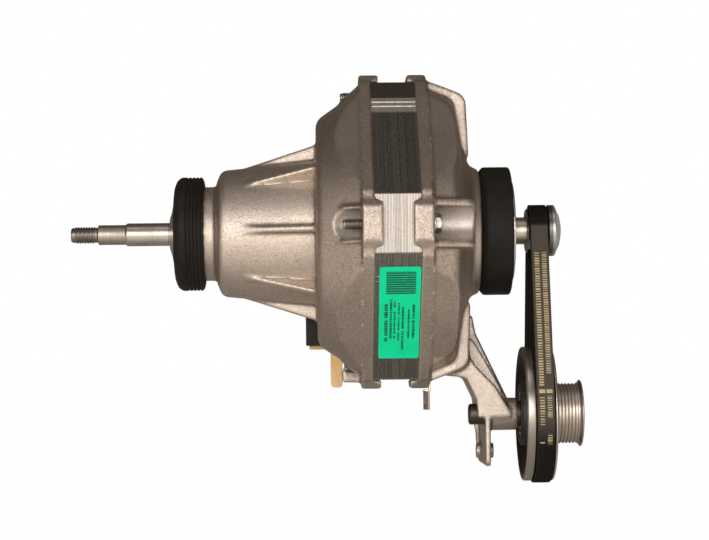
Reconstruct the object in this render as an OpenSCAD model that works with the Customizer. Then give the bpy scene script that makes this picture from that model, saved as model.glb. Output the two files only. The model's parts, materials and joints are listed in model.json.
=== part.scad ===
// Dryer motor: a flat square stator between two die-cast end bells, a rubber ring on each
// bearing neck, a threaded fan shaft on the left and a ribbed belt on the right that drives
// a large jockey wheel carried by an arm of the belt-end bell.
// The origin is the middle of the belt-end rubber ring on the motor axis. X runs along the
// axis towards the belt, Z is up and the front of the motor faces -Y. Sizes are in mm.

/* [Stator] */
// Width across the sides of the square laminations
stack_side = 118.4; // [117:0.2:120]
// Distance from the axis to each cut-off corner of the laminations
stack_corner = 70.6; // [70:0.1:71.4]
// Length of the lamination stack
stack_length = 21; // [18:0.5:26]
// Distance from the belt-end ring to the stack
core_offset = 37.7; // [36.5:0.1:39]
// Inside diameter of the stator
bore_d = 61; // [60.5:0.5:64]
// Number of winding slots
slot_count = 24; // [24:6:36]
// Gap between the rotor and the stator
air_gap = 0.5; // [0.4:0.05:0.7]
// Radius of the circle of the four through bolts
bolt_circle_r = 65; // [64.6:0.1:65.4]
// Thread diameter of the through bolts
bolt_d = 5; // [4:0.5:5]

/* [End bells] */
// Depth of the fan-end bell from the stack to its flat face
fan_bell_depth = 26.3; // [25.5:0.1:29]
// Depth of the belt-end bell from the stack to its flat face
belt_bell_depth = 25.4; // [24.8:0.1:25.8]
// Distance from the fan side of the stack to the end of the bearing neck
fan_neck_reach = 92.8; // [88:0.2:100]
// Radius of the cone where it meets the flat face of the fan-end bell
cone_root_r = 34.6; // [34:0.2:36]
// Wall thickness of the castings
bell_wall = 4; // [3.5:0.1:4.5]
// Height of the corner ears above the cut-off corners of the stack
ear_height = 4.3; // [4:0.1:5]
// Length of each ear over the stack
ear_overlap = 3.7; // [3:0.1:4.5]
// Thickness of the eight gussets on the cone
gusset_t = 3; // [2.5:0.1:3.5]

/* [Rubber rings and caps] */
// Outside diameter of the fan-end rubber ring
fan_ring_d = 54.4; // [53:0.2:57]
// Width of the fan-end rubber ring
fan_ring_w = 13.8; // [13:0.1:14.5]
// Outside diameter of the belt-end rubber ring
belt_ring_d = 61.4; // [60:0.2:63]
// Width of the belt-end rubber ring
belt_ring_w = 15; // [14:0.2:15.2]
// Sheet thickness of the two end caps
cap_t = 0.9; // [0.7:0.1:1]

/* [Shaft] */
// Diameter of the threaded stub at the fan end
stub_d = 8; // [7:0.5:9]
// Diameter of the step next to the stub
fan_step_d = 9.5; // [9.1:0.1:10]
// Diameter of the shaft where it leaves the fan-end cap
fan_shaft_d = 11; // [10.4:0.2:11.6]
// Diameter of the shaft at the belt end
belt_shaft_d = 13; // [12:0.2:13.4]
// Length of the threaded stub
stub_length = 12.9; // [11:0.1:16]
// Length of the step next to the stub
step_length = 13; // [10:0.5:16]
// Length of the thick shaft between the step and the fan-end cap
fan_shaft_length = 21.5; // [18:0.5:26]

/* [Belt drive] */
// Distance between the motor axis and the jockey wheel axis
centre_distance = 87.7; // [87:0.1:89]
// Position of the middle of the belt along the motor axis
belt_x = 20.8; // [20.4:0.1:21.6]
// Pitch of the ribs of the belt
rib_pitch = 1.6; // [1.5:0.02:1.62]
// Number of ribs of the belt
rib_count = 5; // [4:1:5]
// Thickness of the belt above the pulley lands
belt_back = 2.6; // [2.4:0.1:3]
// Running gap between the belt and the pulleys
belt_gap = 0.25; // [0.2:0.05:0.3]
// Diameter of the motor pulley over its lands
motor_pulley_d = 19.6; // [19:0.2:20.4]
// Diameter of the jockey wheel over its lands
jockey_land_d = 60.8; // [59:0.2:62]
// Diameter of the drum pulley over its lands
drum_pulley_d = 28.8; // [28:0.2:30]
// Number of grooves of the drum pulley
drum_grooves = 7; // [6:1:8]
// Number of windows in the web of the jockey wheel
window_count = 6; // [5:1:8]

/* [Bearings and axle] */
// Bore of the fan-end bearing
fan_bearing_bore = 12; // [11.8:0.1:12.4]
// Outside diameter of the fan-end bearing
fan_bearing_od = 32; // [31:0.5:33]
// Width of the fan-end bearing
fan_bearing_w = 10; // [9:0.5:10]
// Bore of the belt-end bearing
belt_bearing_bore = 15; // [14.5:0.5:16]
// Outside diameter of the belt-end bearing
belt_bearing_od = 35; // [34:0.5:36]
// Width of the belt-end bearing
belt_bearing_w = 11; // [10:0.5:11]
// Diameter of the fixed axle of the jockey wheel
axle_d = 10; // [9.6:0.1:10.4]
// Outside diameter of the two bearings of the jockey wheel
wheel_bearing_od = 22; // [21.5:0.1:22.4]
// Width of each of the two bearings of the jockey wheel
wheel_bearing_w = 6; // [5:0.5:6]

/* [Connections] */
// Width of the earth tab
earth_tab_w = 6.3; // [5.8:0.1:6.6]
// Length of the rating label along the side of the stack
label_length = 58; // [50:1:60]
// Width of the rating label
label_w = 18.8; // [16:0.2:19]

/* [Hidden] */
$fn = 96;
fine = 0.02;

// Clearances
rest_gap = 0.05;
run_gap = 0.05;
bolt_clearance = 0.25;

// Stack and its two faces
stack_x1 = -core_offset;
stack_x0 = stack_x1 - stack_length;
side_r = stack_side / 2;
bore_r = bore_d / 2;
slot_depth = 17;
slot_mouth = 1.6;
tooth_share = 0.52;
cleat_along = 24.4;

// Flange strip next to the stack, and the corner ears on it
flange_t = 5.6;
flange_proud = 1.2;
side_proud = 0.6;
fan_flange_x = stack_x0 - flange_t;
belt_flange_x = stack_x1 + flange_t;
ear_r = stack_corner + ear_height;
ear_flat = 7.7;
flange_corner = (stack_side + 2 * flange_proud) / sqrt(2) - stack_corner;

// Fan-end bell
fan_face_x = stack_x0 - fan_bell_depth;
fan_neck_x = stack_x0 - fan_neck_reach;
fan_neck_r = 22.5;
fan_seat_r = 20;
fan_ring_x = fan_neck_x - 0.9;
fan_ring_x1 = fan_ring_x + fan_ring_w;
groove_w = 6.1;
shoulder_x = fan_ring_x1 + groove_w;
shoulder_r = 30.2;
fan_dome_r = 68;
fan_corner_r = 53.6;
gusset_start = shoulder_x + 11.6;
gusset_top_r = 42;

// Belt-end bell
belt_face_x = stack_x1 + belt_bell_depth;
belt_seat_r = 24.5;
belt_shoulder_r = 29.6;
belt_shoulder_x = -belt_ring_w / 2;
belt_neck_end = 6.8;
belt_dome_r = 67.8;
belt_corner_r = 63;
belt_corner_x = belt_face_x - 7.8;
belt_flat_x = belt_face_x - 4;
belt_flat_r = 41;

// Bolt pockets
fan_pocket_r = 6.8;
belt_pocket_r = 7.75;
pocket_rib_t = 3.2;
pocket_half = belt_pocket_r + pocket_rib_t;
small_gusset_t = 1.5;
boss_wall = 3.2;
bolt_tip = 14.4;
head_h = 3.5;
head_flats = 8;
washer_t = 0.9;
washer_r = 4.7;

// Shaft stations
fan_cap_depth = 3.5;
fan_cap_tip = fan_neck_x - fan_cap_depth;
belt_cap_depth = 2;
step_x = fan_cap_tip - fan_shaft_length;
stub_x = step_x - step_length;
shaft_x0 = stub_x - stub_length;
fan_bearing_x = fan_neck_x + 4.1;
belt_bearing_x = -5.2;
rotor_r = bore_r - air_gap;
rotor_seat_r = 9;
shaft_body_r = 8.6;

// Belt drive
belt_w = rib_count * rib_pitch + 0.2;
motor_land_r = motor_pulley_d / 2;
jockey_land_r = jockey_land_d / 2;
drum_land_r = drum_pulley_d / 2;
groove_depth = 1.1;
rib_depth = 0.8;
flange_gap = 0.35;
seat_half = belt_w / 2 + flange_gap;
motor_flange_t = 1;
motor_flange_r = 10.5;
end_flange_r = 12.3;
end_flange_l = 7.1;
end_flange_x = belt_x + seat_half;
shaft_x1 = end_flange_x;
axis_z = -centre_distance;
rim_flange_r = jockey_land_r + 1.6;
rim_left_t = 4.2;
rim_right_t = 1.4;
wheel_x0 = belt_x - seat_half - rim_left_t;
wheel_x1 = belt_x + seat_half + rim_right_t;
rim_inner_r = jockey_land_r - 4.6;
hub_r = 16;
web_t = 3.4;
drum_flange_t = 1.8;
drum_flange_r = drum_land_r + 1.5;
drum_first_land = 0.4;
drum_land_w = drum_grooves * rib_pitch + drum_first_land + 0.6;
drum_x1 = wheel_x1 + drum_land_w + drum_flange_t;
spigot_r = 13;
spigot_l = 4;

// Jockey axle and its two bearings
axle_r = axle_d / 2;
wheel_bearing_r = wheel_bearing_od / 2;
boss_r = 7.75;
boss_x1 = wheel_x0 - 2.5;
axle_collar_r = axle_r + 1.3;
wheel_hub_x = wheel_x0 - 1;
bearing_a_x = wheel_hub_x + 0.4;
bearing_b_x = drum_x1 - 4 - wheel_bearing_w;
bearing_seat_lip = 1.5;
circlip_t = 1;
axle_x0 = -13.2;
axle_x1 = bearing_b_x + wheel_bearing_w + circlip_t + 1.4;

// Arm of the belt-end bell: two webs, a wall along their left edge and a mounting plate
web_front = -8.4;
web_thick = 3.3;
far_web_y = 22.5;
arm_wall_t = 3.4;
plate_x = -5.7;
plate_t = 2.5;
plate_y1 = 49;
plate_drop = 24.8;
plate_corner = 6;
plate_hole_y = 22;
plate_hole_drop = 18.4;
plate_hole_r = 2.1;
plate_boss_r = 3.8;
plate_boss_out = 2.6;
plate_boss_in = 3.8;
plate_rib_y = 28;

// Winding
winding_r0 = 33.2;
winding_r1 = side_r - bell_wall - 4.5;
fan_overhang = 16;
belt_overhang = 12.4;
liner_t = 0.5;

// Terminal block behind the lower rim of the fan-end bell, and the shell clipped under it
block_x0 = fan_face_x - 5.8;
block_x1 = fan_face_x + 4.3;
block_y0 = 26;
block_y1 = 54;
block_z0 = -54;
block_z1 = -33;
cell_count = 3;
cell_w = (block_y1 - block_y0 - 3) / cell_count;
cell_depth = 6;
cell_floor = 6;
cell_roof = 4;
shell_t = 1.9;
shell_drop = 19;
shell_x0 = block_x1 + 2;
shell_w = 5.8;
shell_y0 = 35;
hook_y0 = 38;
window_gap = 0.1;

// Rating label and earth tab
label_shift = 2.9;
label_side_shift = 0.9;
label_t = 0.25;
earth_tab_t = 0.8;
earth_tab_out = 10.4;
earth_jog = 1.5;
earth_hole_r = 0.9;
earth_hole_up = 3.4;
earth_twist = 20;

// A closed outline with round corners, from points of x, y and corner radius
function unit(v) = v / norm(v);
function corner_arc(before, corner, after, r, n) =
    r <= 0 ? [corner] :
    let (
        a = unit(before - corner),
        b = unit(after - corner),
        half = acos(a * b) / 2,
        middle = corner + unit(a + b) * r / sin(half),
        start = corner + a * r / tan(half) - middle,
        finish = corner + b * r / tan(half) - middle,
        turn = atan2(start.x * finish.y - start.y * finish.x, start * finish)
    )
    [for (i = [0 : n]) middle + turned_by(start, turn * i / n)];
function turned_by(v, angle) =
    [v.x * cos(angle) - v.y * sin(angle), v.x * sin(angle) + v.y * cos(angle)];
function flat(p) = [p.x, p.y];
function rounded(points, n = 5) =
    let (last = len(points))
    [for (i = [0 : last - 1])
        each corner_arc(
            flat(points[(i + last - 1) % last]),
            flat(points[i]),
            flat(points[(i + 1) % last]),
            points[i].z, n)];

// Placing helpers: the motor axis is X
module on_axis(x) {
    translate([x, 0, 0]) rotate([0, 90, 0]) children();
}

module turned(points) {
    rotate([0, 90, 0]) rotate_extrude() polygon([for (p = points) [p.y, p.x]]);
}

module tube(x0, x1, outer_r, inner_r = 0) {
    on_axis(x0) difference() {
        cylinder(r = outer_r, h = x1 - x0);
        if (inner_r > 0)
            translate([0, 0, -1]) cylinder(r = inner_r, h = x1 - x0 + 2);
    }
}

module side_plate(y0, y1) {
    translate([0, y1, 0]) rotate([90, 0, 0]) linear_extrude(y1 - y0) children();
}

module on_corners() {
    for (i = [0 : 3]) rotate([90 * i, 0, 0]) children();
}

module core_outline(side, corner) {
    intersection() {
        rotate(45) square(side, center = true);
        square(2 * corner, center = true);
    }
}

module core_prism(x0, x1, side, corner) {
    on_axis(x0) linear_extrude(x1 - x0) core_outline(side, corner);
}

module at_jockey() {
    translate([0, 0, axis_z]) children();
}

// One corner ear, drawn for the top corner: reach is where its tongue ends over the stack
module ear(flange_x, stack_face, reach) {
    tongue = ear_flat + 2.4;
    fillet = ear_overlap * 0.9;
    inside = stack_corner - 13;
    intersection() {
        translate([0, 0, inside]) linear_extrude(ear_r)
            polygon(rounded([
                [flange_x, -flange_corner, 0],
                [stack_face, -flange_corner, 0],
                [stack_face, -tongue, fillet],
                [reach, -tongue, 0],
                [reach, tongue, 0],
                [stack_face, tongue, fillet],
                [stack_face, flange_corner, 0],
                [flange_x, flange_corner, 0]
            ]));
        translate([min(flange_x, reach) - 1, 0, 0]) rotate([90, 0, 90])
            linear_extrude(abs(reach - flange_x) + 2)
            polygon(rounded([
                [-flange_corner, stack_corner + fine, 0],
                [-ear_flat - 3.6, stack_corner + 0.9, 2],
                [-ear_flat, ear_r, 1.6],
                [ear_flat, ear_r, 1.6],
                [ear_flat + 3.6, stack_corner + 0.9, 2],
                [flange_corner, stack_corner + fine, 0],
                [flange_corner, inside, 0],
                [-flange_corner, inside, 0]
            ]));
    }
}

// Room for the stack under the ears
module stack_room() {
    core_prism(stack_x0, stack_x1, stack_side + 2 * rest_gap, stack_corner + rest_gap);
}

module bolt_holes(x0, x1) {
    on_corners() translate([0, 0, bolt_circle_r])
        tube(x0, x1, bolt_d / 2 + bolt_clearance);
}

// Fan-end bell
fan_outer = rounded([
    [stack_x0, 0, 0],
    [stack_x0, fan_dome_r, 0],
    [fan_flange_x, fan_dome_r, 2],
    [fan_face_x, fan_corner_r, 7],
    [fan_face_x, cone_root_r, 1.5],
    [shoulder_x + 2.4, shoulder_r, 4],
    [shoulder_x, fan_neck_r + 2, 1.5],
    [shoulder_x, fan_neck_r, 0],
    [fan_ring_x1, fan_neck_r, 0],
    [fan_ring_x1, fan_seat_r, 0],
    [fan_neck_x, fan_seat_r, 0.8],
    [fan_neck_x, 0, 0]
], 6);

fan_inner = rounded([
    [stack_x0 + 1, 0, 0],
    [stack_x0 + 1, fan_dome_r - bell_wall, 0],
    [fan_flange_x, fan_dome_r - bell_wall - 1, 4],
    [fan_face_x + bell_wall, fan_corner_r - bell_wall + 1, 5],
    [fan_face_x + bell_wall, cone_root_r - bell_wall - 1, 4],
    [shoulder_x + 5.5, shoulder_r - bell_wall - 1.5, 6],
    [fan_bearing_x + fan_bearing_w + 3, fan_bearing_od / 2 + 0.6, 2],
    [fan_bearing_x + fan_bearing_w + 3, 0, 0]
], 5);

module fan_bell_body() {
    intersection() {
        turned(fan_outer);
        core_prism(fan_neck_x - 1, stack_x0, stack_side + 2 * side_proud, stack_corner);
    }
    core_prism(fan_flange_x, stack_x0, stack_side + 2 * flange_proud, stack_corner + fine);
    on_corners() {
        ear(fan_flange_x, stack_x0, stack_x0 + ear_overlap);
        pocket_gussets();
    }
    for (i = [0 : 7]) rotate([45 * i, 0, 0]) cone_gusset();
    terminal_lug();
}

// Two thin gussets that run from an ear down to the dome beside the bolt pocket
module pocket_gussets() {
    for (side = [-1, 1]) {
        middle = side * (fan_pocket_r + small_gusset_t / 2);
        side_plate(middle - small_gusset_t / 2, middle + small_gusset_t / 2)
            polygon(rounded([
                [fan_flange_x + 1, fan_dome_r + 3, 0],
                [fan_flange_x, fan_dome_r + 2.2, 0],
                [fan_flange_x - 4, fan_dome_r - 1.2, 3],
                [fan_flange_x - 9, fan_dome_r - 5.6, 2],
                [fan_flange_x - 10.5, fan_dome_r - 8.5, 0],
                [fan_flange_x + 1, fan_dome_r - 8.5, 0]
            ]));
    }
}

// Lug beside the lowest pocket, on the side of the terminal block
module terminal_lug() {
    side_plate(fan_pocket_r, fan_pocket_r + 3)
        polygon(rounded([
            [fan_flange_x + 1, 8 - fan_dome_r, 0],
            [fan_flange_x + 1, -fan_dome_r - 4, 0],
            [fan_flange_x - 9.2, -fan_dome_r - 4, 1.4],
            [fan_flange_x - 9.2, -fan_dome_r + 1, 1],
            [fan_flange_x - 6, 8 - fan_dome_r, 0]
        ]));
}

module cone_gusset() {
    side_plate(-gusset_t / 2, gusset_t / 2)
        polygon([
            [gusset_start, shoulder_r - 2],
            [gusset_start, shoulder_r + 0.6],
            [gusset_start + 3, shoulder_r + 1.6],
            [fan_face_x - 1.2, gusset_top_r],
            [fan_face_x + 0.5, gusset_top_r + 1.4],
            [fan_face_x + 0.5, cone_root_r - 2]
        ]);
}

// Round-ended pocket that frees the threaded end of one bolt
module fan_pocket() {
    translate([0, 0, bolt_circle_r]) {
        start = fan_flange_x - 9.4;
        tube(start, fan_flange_x, fan_pocket_r);
        translate([start, 0, 0]) sphere(r = fan_pocket_r);
        translate([start, -fan_pocket_r, 0])
            cube([fan_flange_x - start, 2 * fan_pocket_r, 20]);
    }
}

module corner_bosses(r, x0, x1) {
    on_corners() translate([0, 0, bolt_circle_r]) {
        tube(x0, x1, r);
        translate([x0, -r, 0]) cube([x1 - x0, 2 * r, 20]);
    }
}

module fan_cavity() {
    difference() {
        intersection() {
            turned(fan_inner);
            core_prism(fan_neck_x, stack_x0 + 1, stack_side - 2 * bell_wall, stack_corner);
        }
        corner_bosses(fan_pocket_r + boss_wall, fan_face_x, stack_x0);
    }
    tube(fan_bearing_x, fan_bearing_x + fan_bearing_w + 4, fan_bearing_od / 2 + rest_gap);
    tube(fan_bearing_x - 1.5, fan_bearing_x + 1, fan_bearing_od / 2 + rest_gap);
    tube(fan_neck_x - 1, fan_bearing_x, fan_bearing_od / 2 - 3);
}

module fan_end_bell() {
    color([0.72, 0.68, 0.63])
    difference() {
        fan_bell_body();
        fan_cavity();
        on_corners() fan_pocket();
        bolt_holes(fan_face_x, stack_x0 + 1);
        stack_room();
        block_envelope(window_gap);
    }
}

// Belt-end bell
belt_outer = rounded([
    [stack_x1, 0, 0],
    [stack_x1, belt_dome_r, 0],
    [belt_flange_x, belt_dome_r, 2],
    [belt_corner_x, belt_corner_r, 6],
    [belt_flat_x, belt_flat_r, 3],
    [belt_shoulder_x - 4, 31.4, 3],
    [belt_shoulder_x, belt_shoulder_r, 0],
    [belt_shoulder_x, belt_seat_r, 0],
    [belt_neck_end, belt_seat_r, 0.8],
    [belt_neck_end, 0, 0]
], 6);

belt_inner = rounded([
    [stack_x1 - 1, 0, 0],
    [stack_x1 - 1, belt_dome_r - bell_wall, 0],
    [belt_flange_x, belt_dome_r - bell_wall, 2],
    [belt_corner_x - bell_wall + 1, belt_corner_r - bell_wall, 5],
    [belt_flat_x - bell_wall, belt_flat_r, 3],
    [belt_flat_x - bell_wall + 2.4, belt_bearing_od / 2 + 4, 2],
    [belt_bearing_x - 2, belt_bearing_od / 2 + 1, 0],
    [belt_bearing_x - 2, 0, 0]
], 5);

// Two parallel ribs that carry the ear down to the flat face on both sides of a bolt head
module pocket_ribs() {
    side_plate(-pocket_half, pocket_half)
        polygon(rounded([
            [belt_flange_x - 1, belt_dome_r + 4.4, 0],
            [belt_flange_x + 0.4, belt_dome_r + 3.8, 2],
            [belt_flange_x + 9, belt_dome_r + 0.6, 12],
            [belt_face_x - 1, belt_dome_r - 3.4, 6.5],
            [belt_face_x + 0.1, belt_dome_r - 32, 1],
            [belt_face_x - 1.4, belt_dome_r - 35, 0],
            [belt_face_x - 7, belt_dome_r - 30, 0],
            [belt_flange_x - 1, belt_dome_r - 10, 0]
        ], 6));
}

module belt_pocket() {
    translate([0, 0, bolt_circle_r]) {
        tube(belt_flange_x, belt_face_x + 8, belt_pocket_r);
        translate([belt_flange_x, -belt_pocket_r, 0])
            cube([belt_bell_depth, 2 * belt_pocket_r, 20]);
    }
}

// Points of the arm: along X from the end face, and above the axis of the jockey wheel
function at_arm(points) = [for (p = points) [belt_face_x + p.x, axis_z + p.y]];

arm_left = at_arm([[-2.1, 17], [0.5, 11.4], [2.6, 6.9], [3.1, -1.5]]);

near_web = concat(at_arm([[-14.7, 23.7], [-11.7, 18.5], [-5.1, 17.9]]), arm_left, [
    [boss_x1 - 3.3, axis_z - 1.4],
    [boss_x1 - 3.6, axis_z + 2.2]
], at_arm([[11.7, 13.5], [2.9, 22.6], [0.1, 27.1], [-1.2, 33.7]]));

middle_web = concat(at_arm([[-11.7, 18.5], [-5.1, 17.9]]), arm_left, [
    [boss_x1 - 3.5, axis_z - 1.4],
    [boss_x1 - 4, axis_z + 4]
], at_arm([[15.3, 13.2], [3.6, 33.8], [-1.5, 39.7]]));

far_web = concat(at_arm([[-11.7, 29.7], [-5.1, 17.9]]), arm_left, [
    [boss_x1 - 1.8, axis_z - 1.4],
    [boss_x1 - 1.8, axis_z + 6.6]
], at_arm([[4.8, 39], [3.3, 47.7], [-6.5, 47.7]]));

module arm() {
    side_plate(web_front, web_front + web_thick) polygon(near_web);
    side_plate(belt_pocket_r, pocket_half) polygon(middle_web);
    side_plate(far_web_y, far_web_y + web_thick) polygon(far_web);
    side_plate(web_front, far_web_y + web_thick) polygon(concat(
        arm_left,
        [for (i = [len(arm_left) - 1 : -1 : 0]) arm_left[i] + [arm_wall_t, 0.6]]
    ));
    at_jockey() tube(plate_x, boss_x1, boss_r);
    mounting_plate();
}

module mounting_plate() {
    bottom = axis_z - plate_drop;
    translate([plate_x, 0, 0]) rotate([90, 0, 90]) linear_extrude(plate_t)
        polygon(rounded([
            [web_front, -78, 0],
            [web_front, bottom, 3],
            [plate_y1 - 6, bottom, plate_corner],
            [plate_y1, axis_z - 8, plate_corner],
            [plate_y1 - 8, axis_z + 7, plate_corner],
            [far_web_y + web_thick, -78, 0]
        ]));
    at_plate_hole() tube(plate_x - plate_boss_out, plate_x + plate_t + plate_boss_in, plate_boss_r);
    side_plate(plate_rib_y, plate_rib_y + 3) polygon([
        [plate_x + 1, axis_z + 2],
        [plate_x - 3.4, axis_z - 3],
        [plate_x - 2.1, axis_z - 9.6],
        [plate_x - 1.5, axis_z - plate_drop + 2.5],
        [plate_x + 1, axis_z - plate_drop + 0.6]
    ]);
}

module at_plate_hole() {
    translate([0, plate_hole_y, axis_z - plate_hole_drop]) children();
}

module belt_bell_body() {
    difference() {
        union() {
            intersection() {
                turned(belt_outer);
                core_prism(stack_x1, belt_neck_end + 1,
                    stack_side + 2 * side_proud, stack_corner);
            }
            core_prism(stack_x1, belt_flange_x,
                stack_side + 2 * flange_proud, stack_corner + fine);
            on_corners() {
                ear(belt_flange_x, stack_x1, stack_x1 - ear_overlap);
                pocket_ribs();
            }
        }
        on_corners() belt_pocket();
    }
    arm();
}

module belt_cavity() {
    difference() {
        intersection() {
            turned(belt_inner);
            core_prism(stack_x1 - 1, belt_bearing_x, stack_side - 2 * bell_wall, stack_corner);
        }
        corner_bosses(belt_pocket_r + boss_wall - 0.4, stack_x1, belt_face_x);
    }
    tube(belt_bearing_x - 3, belt_bearing_x + belt_bearing_w, belt_bearing_od / 2 + rest_gap);
    tube(belt_bearing_x, belt_neck_end + 1, belt_bearing_od / 2 - 3);
}

module belt_end_bell() {
    color([0.74, 0.7, 0.65])
    difference() {
        belt_bell_body();
        belt_cavity();
        bolt_holes(stack_x1 - 1, belt_flange_x + 1);
        stack_room();
        at_jockey() tube(plate_x - 4, boss_x1 + 1, axle_r + fine);
        at_plate_hole() tube(plate_x - 9, plate_x + 12, plate_hole_r);
    }
}

// Stator core: a square stack with cut corners, slots, bolt holes and a cleat groove per side
module slot_shape(inset = 0) {
    pitch = 360 / slot_count;
    half = pitch * (1 - tooth_share) / 2;
    r0 = bore_r + 2.2 + inset;
    r1 = bore_r + slot_depth - inset;
    w0 = r0 * sin(half) - inset;
    w1 = r1 * sin(half) - inset;
    polygon(rounded([
        [r0 * cos(half), w0, w0 * 0.5],
        [r1 * cos(half), w1, w1 * 0.6],
        [r1 * cos(half), -w1, w1 * 0.6],
        [r0 * cos(half), -w0, w0 * 0.5]
    ], 3));
}

module around_slots() {
    for (i = [0 : slot_count - 1]) rotate(i * 360 / slot_count) children();
}

module cleat_grooves() {
    groove_d = 1.6;
    for (i = [0 : 3]) rotate(45 + 90 * i) translate([cleat_along, side_r])
        for (side = [-1, 1]) translate([side * groove_d, 0]) circle(d = groove_d, $fn = 24);
}

module stator_core() {
    color([0.27, 0.26, 0.25])
    on_axis(stack_x0) linear_extrude(stack_length) difference() {
        core_outline(stack_side, stack_corner);
        circle(r = bore_r);
        around_slots() {
            slot_shape();
            translate([bore_r - 1, -slot_mouth / 2]) square([4, slot_mouth]);
        }
        for (i = [0 : 3]) rotate(90 * i) translate([bolt_circle_r, 0])
            circle(d = bolt_d + 2 * bolt_clearance);
        cleat_grooves();
    }
}

module slot_liners() {
    color([0.85, 0.8, 0.66])
    on_axis(stack_x0 - 1.5) linear_extrude(stack_length + 3) around_slots() difference() {
        slot_shape(rest_gap);
        slot_shape(rest_gap + liner_t);
        translate([bore_r, -slot_mouth / 2]) square([4, slot_mouth]);
    }
}

module slot_windings() {
    color([0.72, 0.36, 0.16])
    on_axis(stack_x0 - 1.5) linear_extrude(stack_length + 3) around_slots()
        slot_shape(2 * rest_gap + liner_t);
}

module end_winding(x_face, length) {
    far = x_face + length;
    near = x_face + sign(length) * 1.5;
    turned(rounded([
        [near, winding_r0, 1.5],
        [far, winding_r0 + 2.5, 4],
        [far, winding_r1 - 1, 5],
        [near, winding_r1, 3]
    ]));
}

// The winding shapes leave room for the lacing cord, which lies half sunk in them
module fan_side_winding() {
    color([0.72, 0.36, 0.16])
    difference() {
        end_winding(stack_x0, -fan_overhang);
        lacing(0.05, stack_x0, -fan_overhang);
        cutout_box(0.1);
    }
}

module belt_side_winding() {
    color([0.72, 0.36, 0.16])
    difference() {
        end_winding(stack_x1, belt_overhang);
        lacing(0.05, stack_x1, belt_overhang);
    }
}

module lacing(grow, x_face, length) {
    wraps = 12;
    cord = 0.9 + grow;
    x0 = min(x_face + length, x_face + sign(length) * 5);
    x1 = max(x_face + length, x_face + sign(length) * 5);
    for (i = [0 : wraps - 1]) rotate([360 * (i + 0.5) / wraps, 0, 0])
        translate([x0 - 0.5, -cord, winding_r1 - 2.4 - grow])
            cube([x1 - x0 + 0.5, 2 * cord, 3 + 2 * grow]);
}

module winding_lacing() {
    color([0.93, 0.91, 0.84]) {
        lacing(0, stack_x0, -fan_overhang);
        lacing(0, stack_x1, belt_overhang);
    }
}

// Thermal cut-out strapped on the fan-side winding
module cutout_box(grow) {
    x0 = stack_x0 - fan_overhang;
    rotate([180 + 75, 0, 0])
        translate([x0 - 2 - grow, -4 - grow, winding_r0 + 4.5 - grow])
            cube([6 + 2 * grow, 8 + 2 * grow, 10 + 2 * grow]);
}

module thermal_cutout() {
    color([0.15, 0.15, 0.16]) cutout_box(0);
}

// Rubber rings
module fan_end_ring() {
    outer = fan_ring_d / 2;
    first_ridge = fan_ring_x + 5.9;
    groove_count = 4;
    ridge_pitch = (fan_ring_x1 - 1 - first_ridge) / groove_count;
    color([0.09, 0.09, 0.09])
    turned(concat(
        rounded([
            [fan_ring_x1, fan_seat_r + rest_gap, 0],
            [fan_ring_x, fan_seat_r + rest_gap, 0],
            [fan_ring_x, outer - 4.6, 2],
            [fan_ring_x + 3.2, outer, 3.5],
            [first_ridge - 0.1, outer, 0]
        ]),
        [for (i = [0 : groove_count - 1])
            each [
                [first_ridge + i * ridge_pitch, outer],
                [first_ridge + 0.5 + i * ridge_pitch, outer - 0.5],
                [first_ridge + 1 + i * ridge_pitch, outer]
            ]],
        [[fan_ring_x1 - 1, outer], [fan_ring_x1, outer - 1.4]]
    ));
}

module belt_end_ring() {
    outer = belt_ring_d / 2;
    half = belt_ring_w / 2;
    color([0.08, 0.08, 0.08])
    turned(rounded([
        [-half + fine, belt_seat_r + rest_gap, 0],
        [-half + fine, outer - 2.6, 1],
        [-half + 2.2, outer, 1.6],
        [half, outer, 1.2],
        [half, belt_seat_r + rest_gap, 0]
    ]));
}

// Sheet-metal caps over the two bearings: a coned one at the fan end and a flat pan
module fan_end_cap() {
    x = fan_neck_x;
    rim_r = fan_seat_r - 0.5;
    bend_r = rim_r * 0.55;
    bend_x = fan_cap_tip + fan_cap_depth * 0.28;
    hole_r = fan_shaft_d / 2 + 0.7;
    color([0.8, 0.79, 0.77])
    turned([
        [x, rim_r],
        [x - cap_t, rim_r],
        [x - cap_t - 0.2, rim_r - 1.4],
        [bend_x, bend_r],
        [fan_cap_tip, hole_r + 1.6],
        [fan_cap_tip, hole_r],
        [fan_cap_tip + cap_t, hole_r],
        [fan_cap_tip + cap_t, hole_r + 1.6],
        [bend_x + cap_t, bend_r],
        [x - 0.2, rim_r - 1.8],
        [x, rim_r - 1.9]
    ]);
}

module belt_end_cap() {
    x = belt_neck_end;
    face_x = x + belt_cap_depth;
    rim_r = belt_seat_r - 0.3;
    hole_r = belt_shaft_d / 2 + 0.7;
    color([0.8, 0.79, 0.77])
    turned([
        [x, rim_r],
        [face_x - 0.4, rim_r],
        [face_x, rim_r - 0.4],
        [face_x, hole_r],
        [face_x - cap_t, hole_r],
        [face_x - cap_t, rim_r - cap_t],
        [x, rim_r - cap_t]
    ]);
}

// Four through bolts: hex heads at the belt end, threads showing in the fan-end pockets
module through_bolts() {
    lowest = 2;
    color([0.78, 0.77, 0.74])
    for (i = [0 : 3]) rotate([90 * i, 0, 0])
        translate([i == lowest ? earth_tab_t : 0, 0, bolt_circle_r]) {
            tube(stack_x0 - bolt_tip, belt_flange_x + 1, bolt_d / 2);
            tube(belt_flange_x + fine, belt_flange_x + washer_t, washer_r);
            on_axis(belt_flange_x + washer_t) rotate(30)
                cylinder(d = head_flats / cos(30), h = head_h - washer_t, $fn = 6);
        }
}

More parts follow.
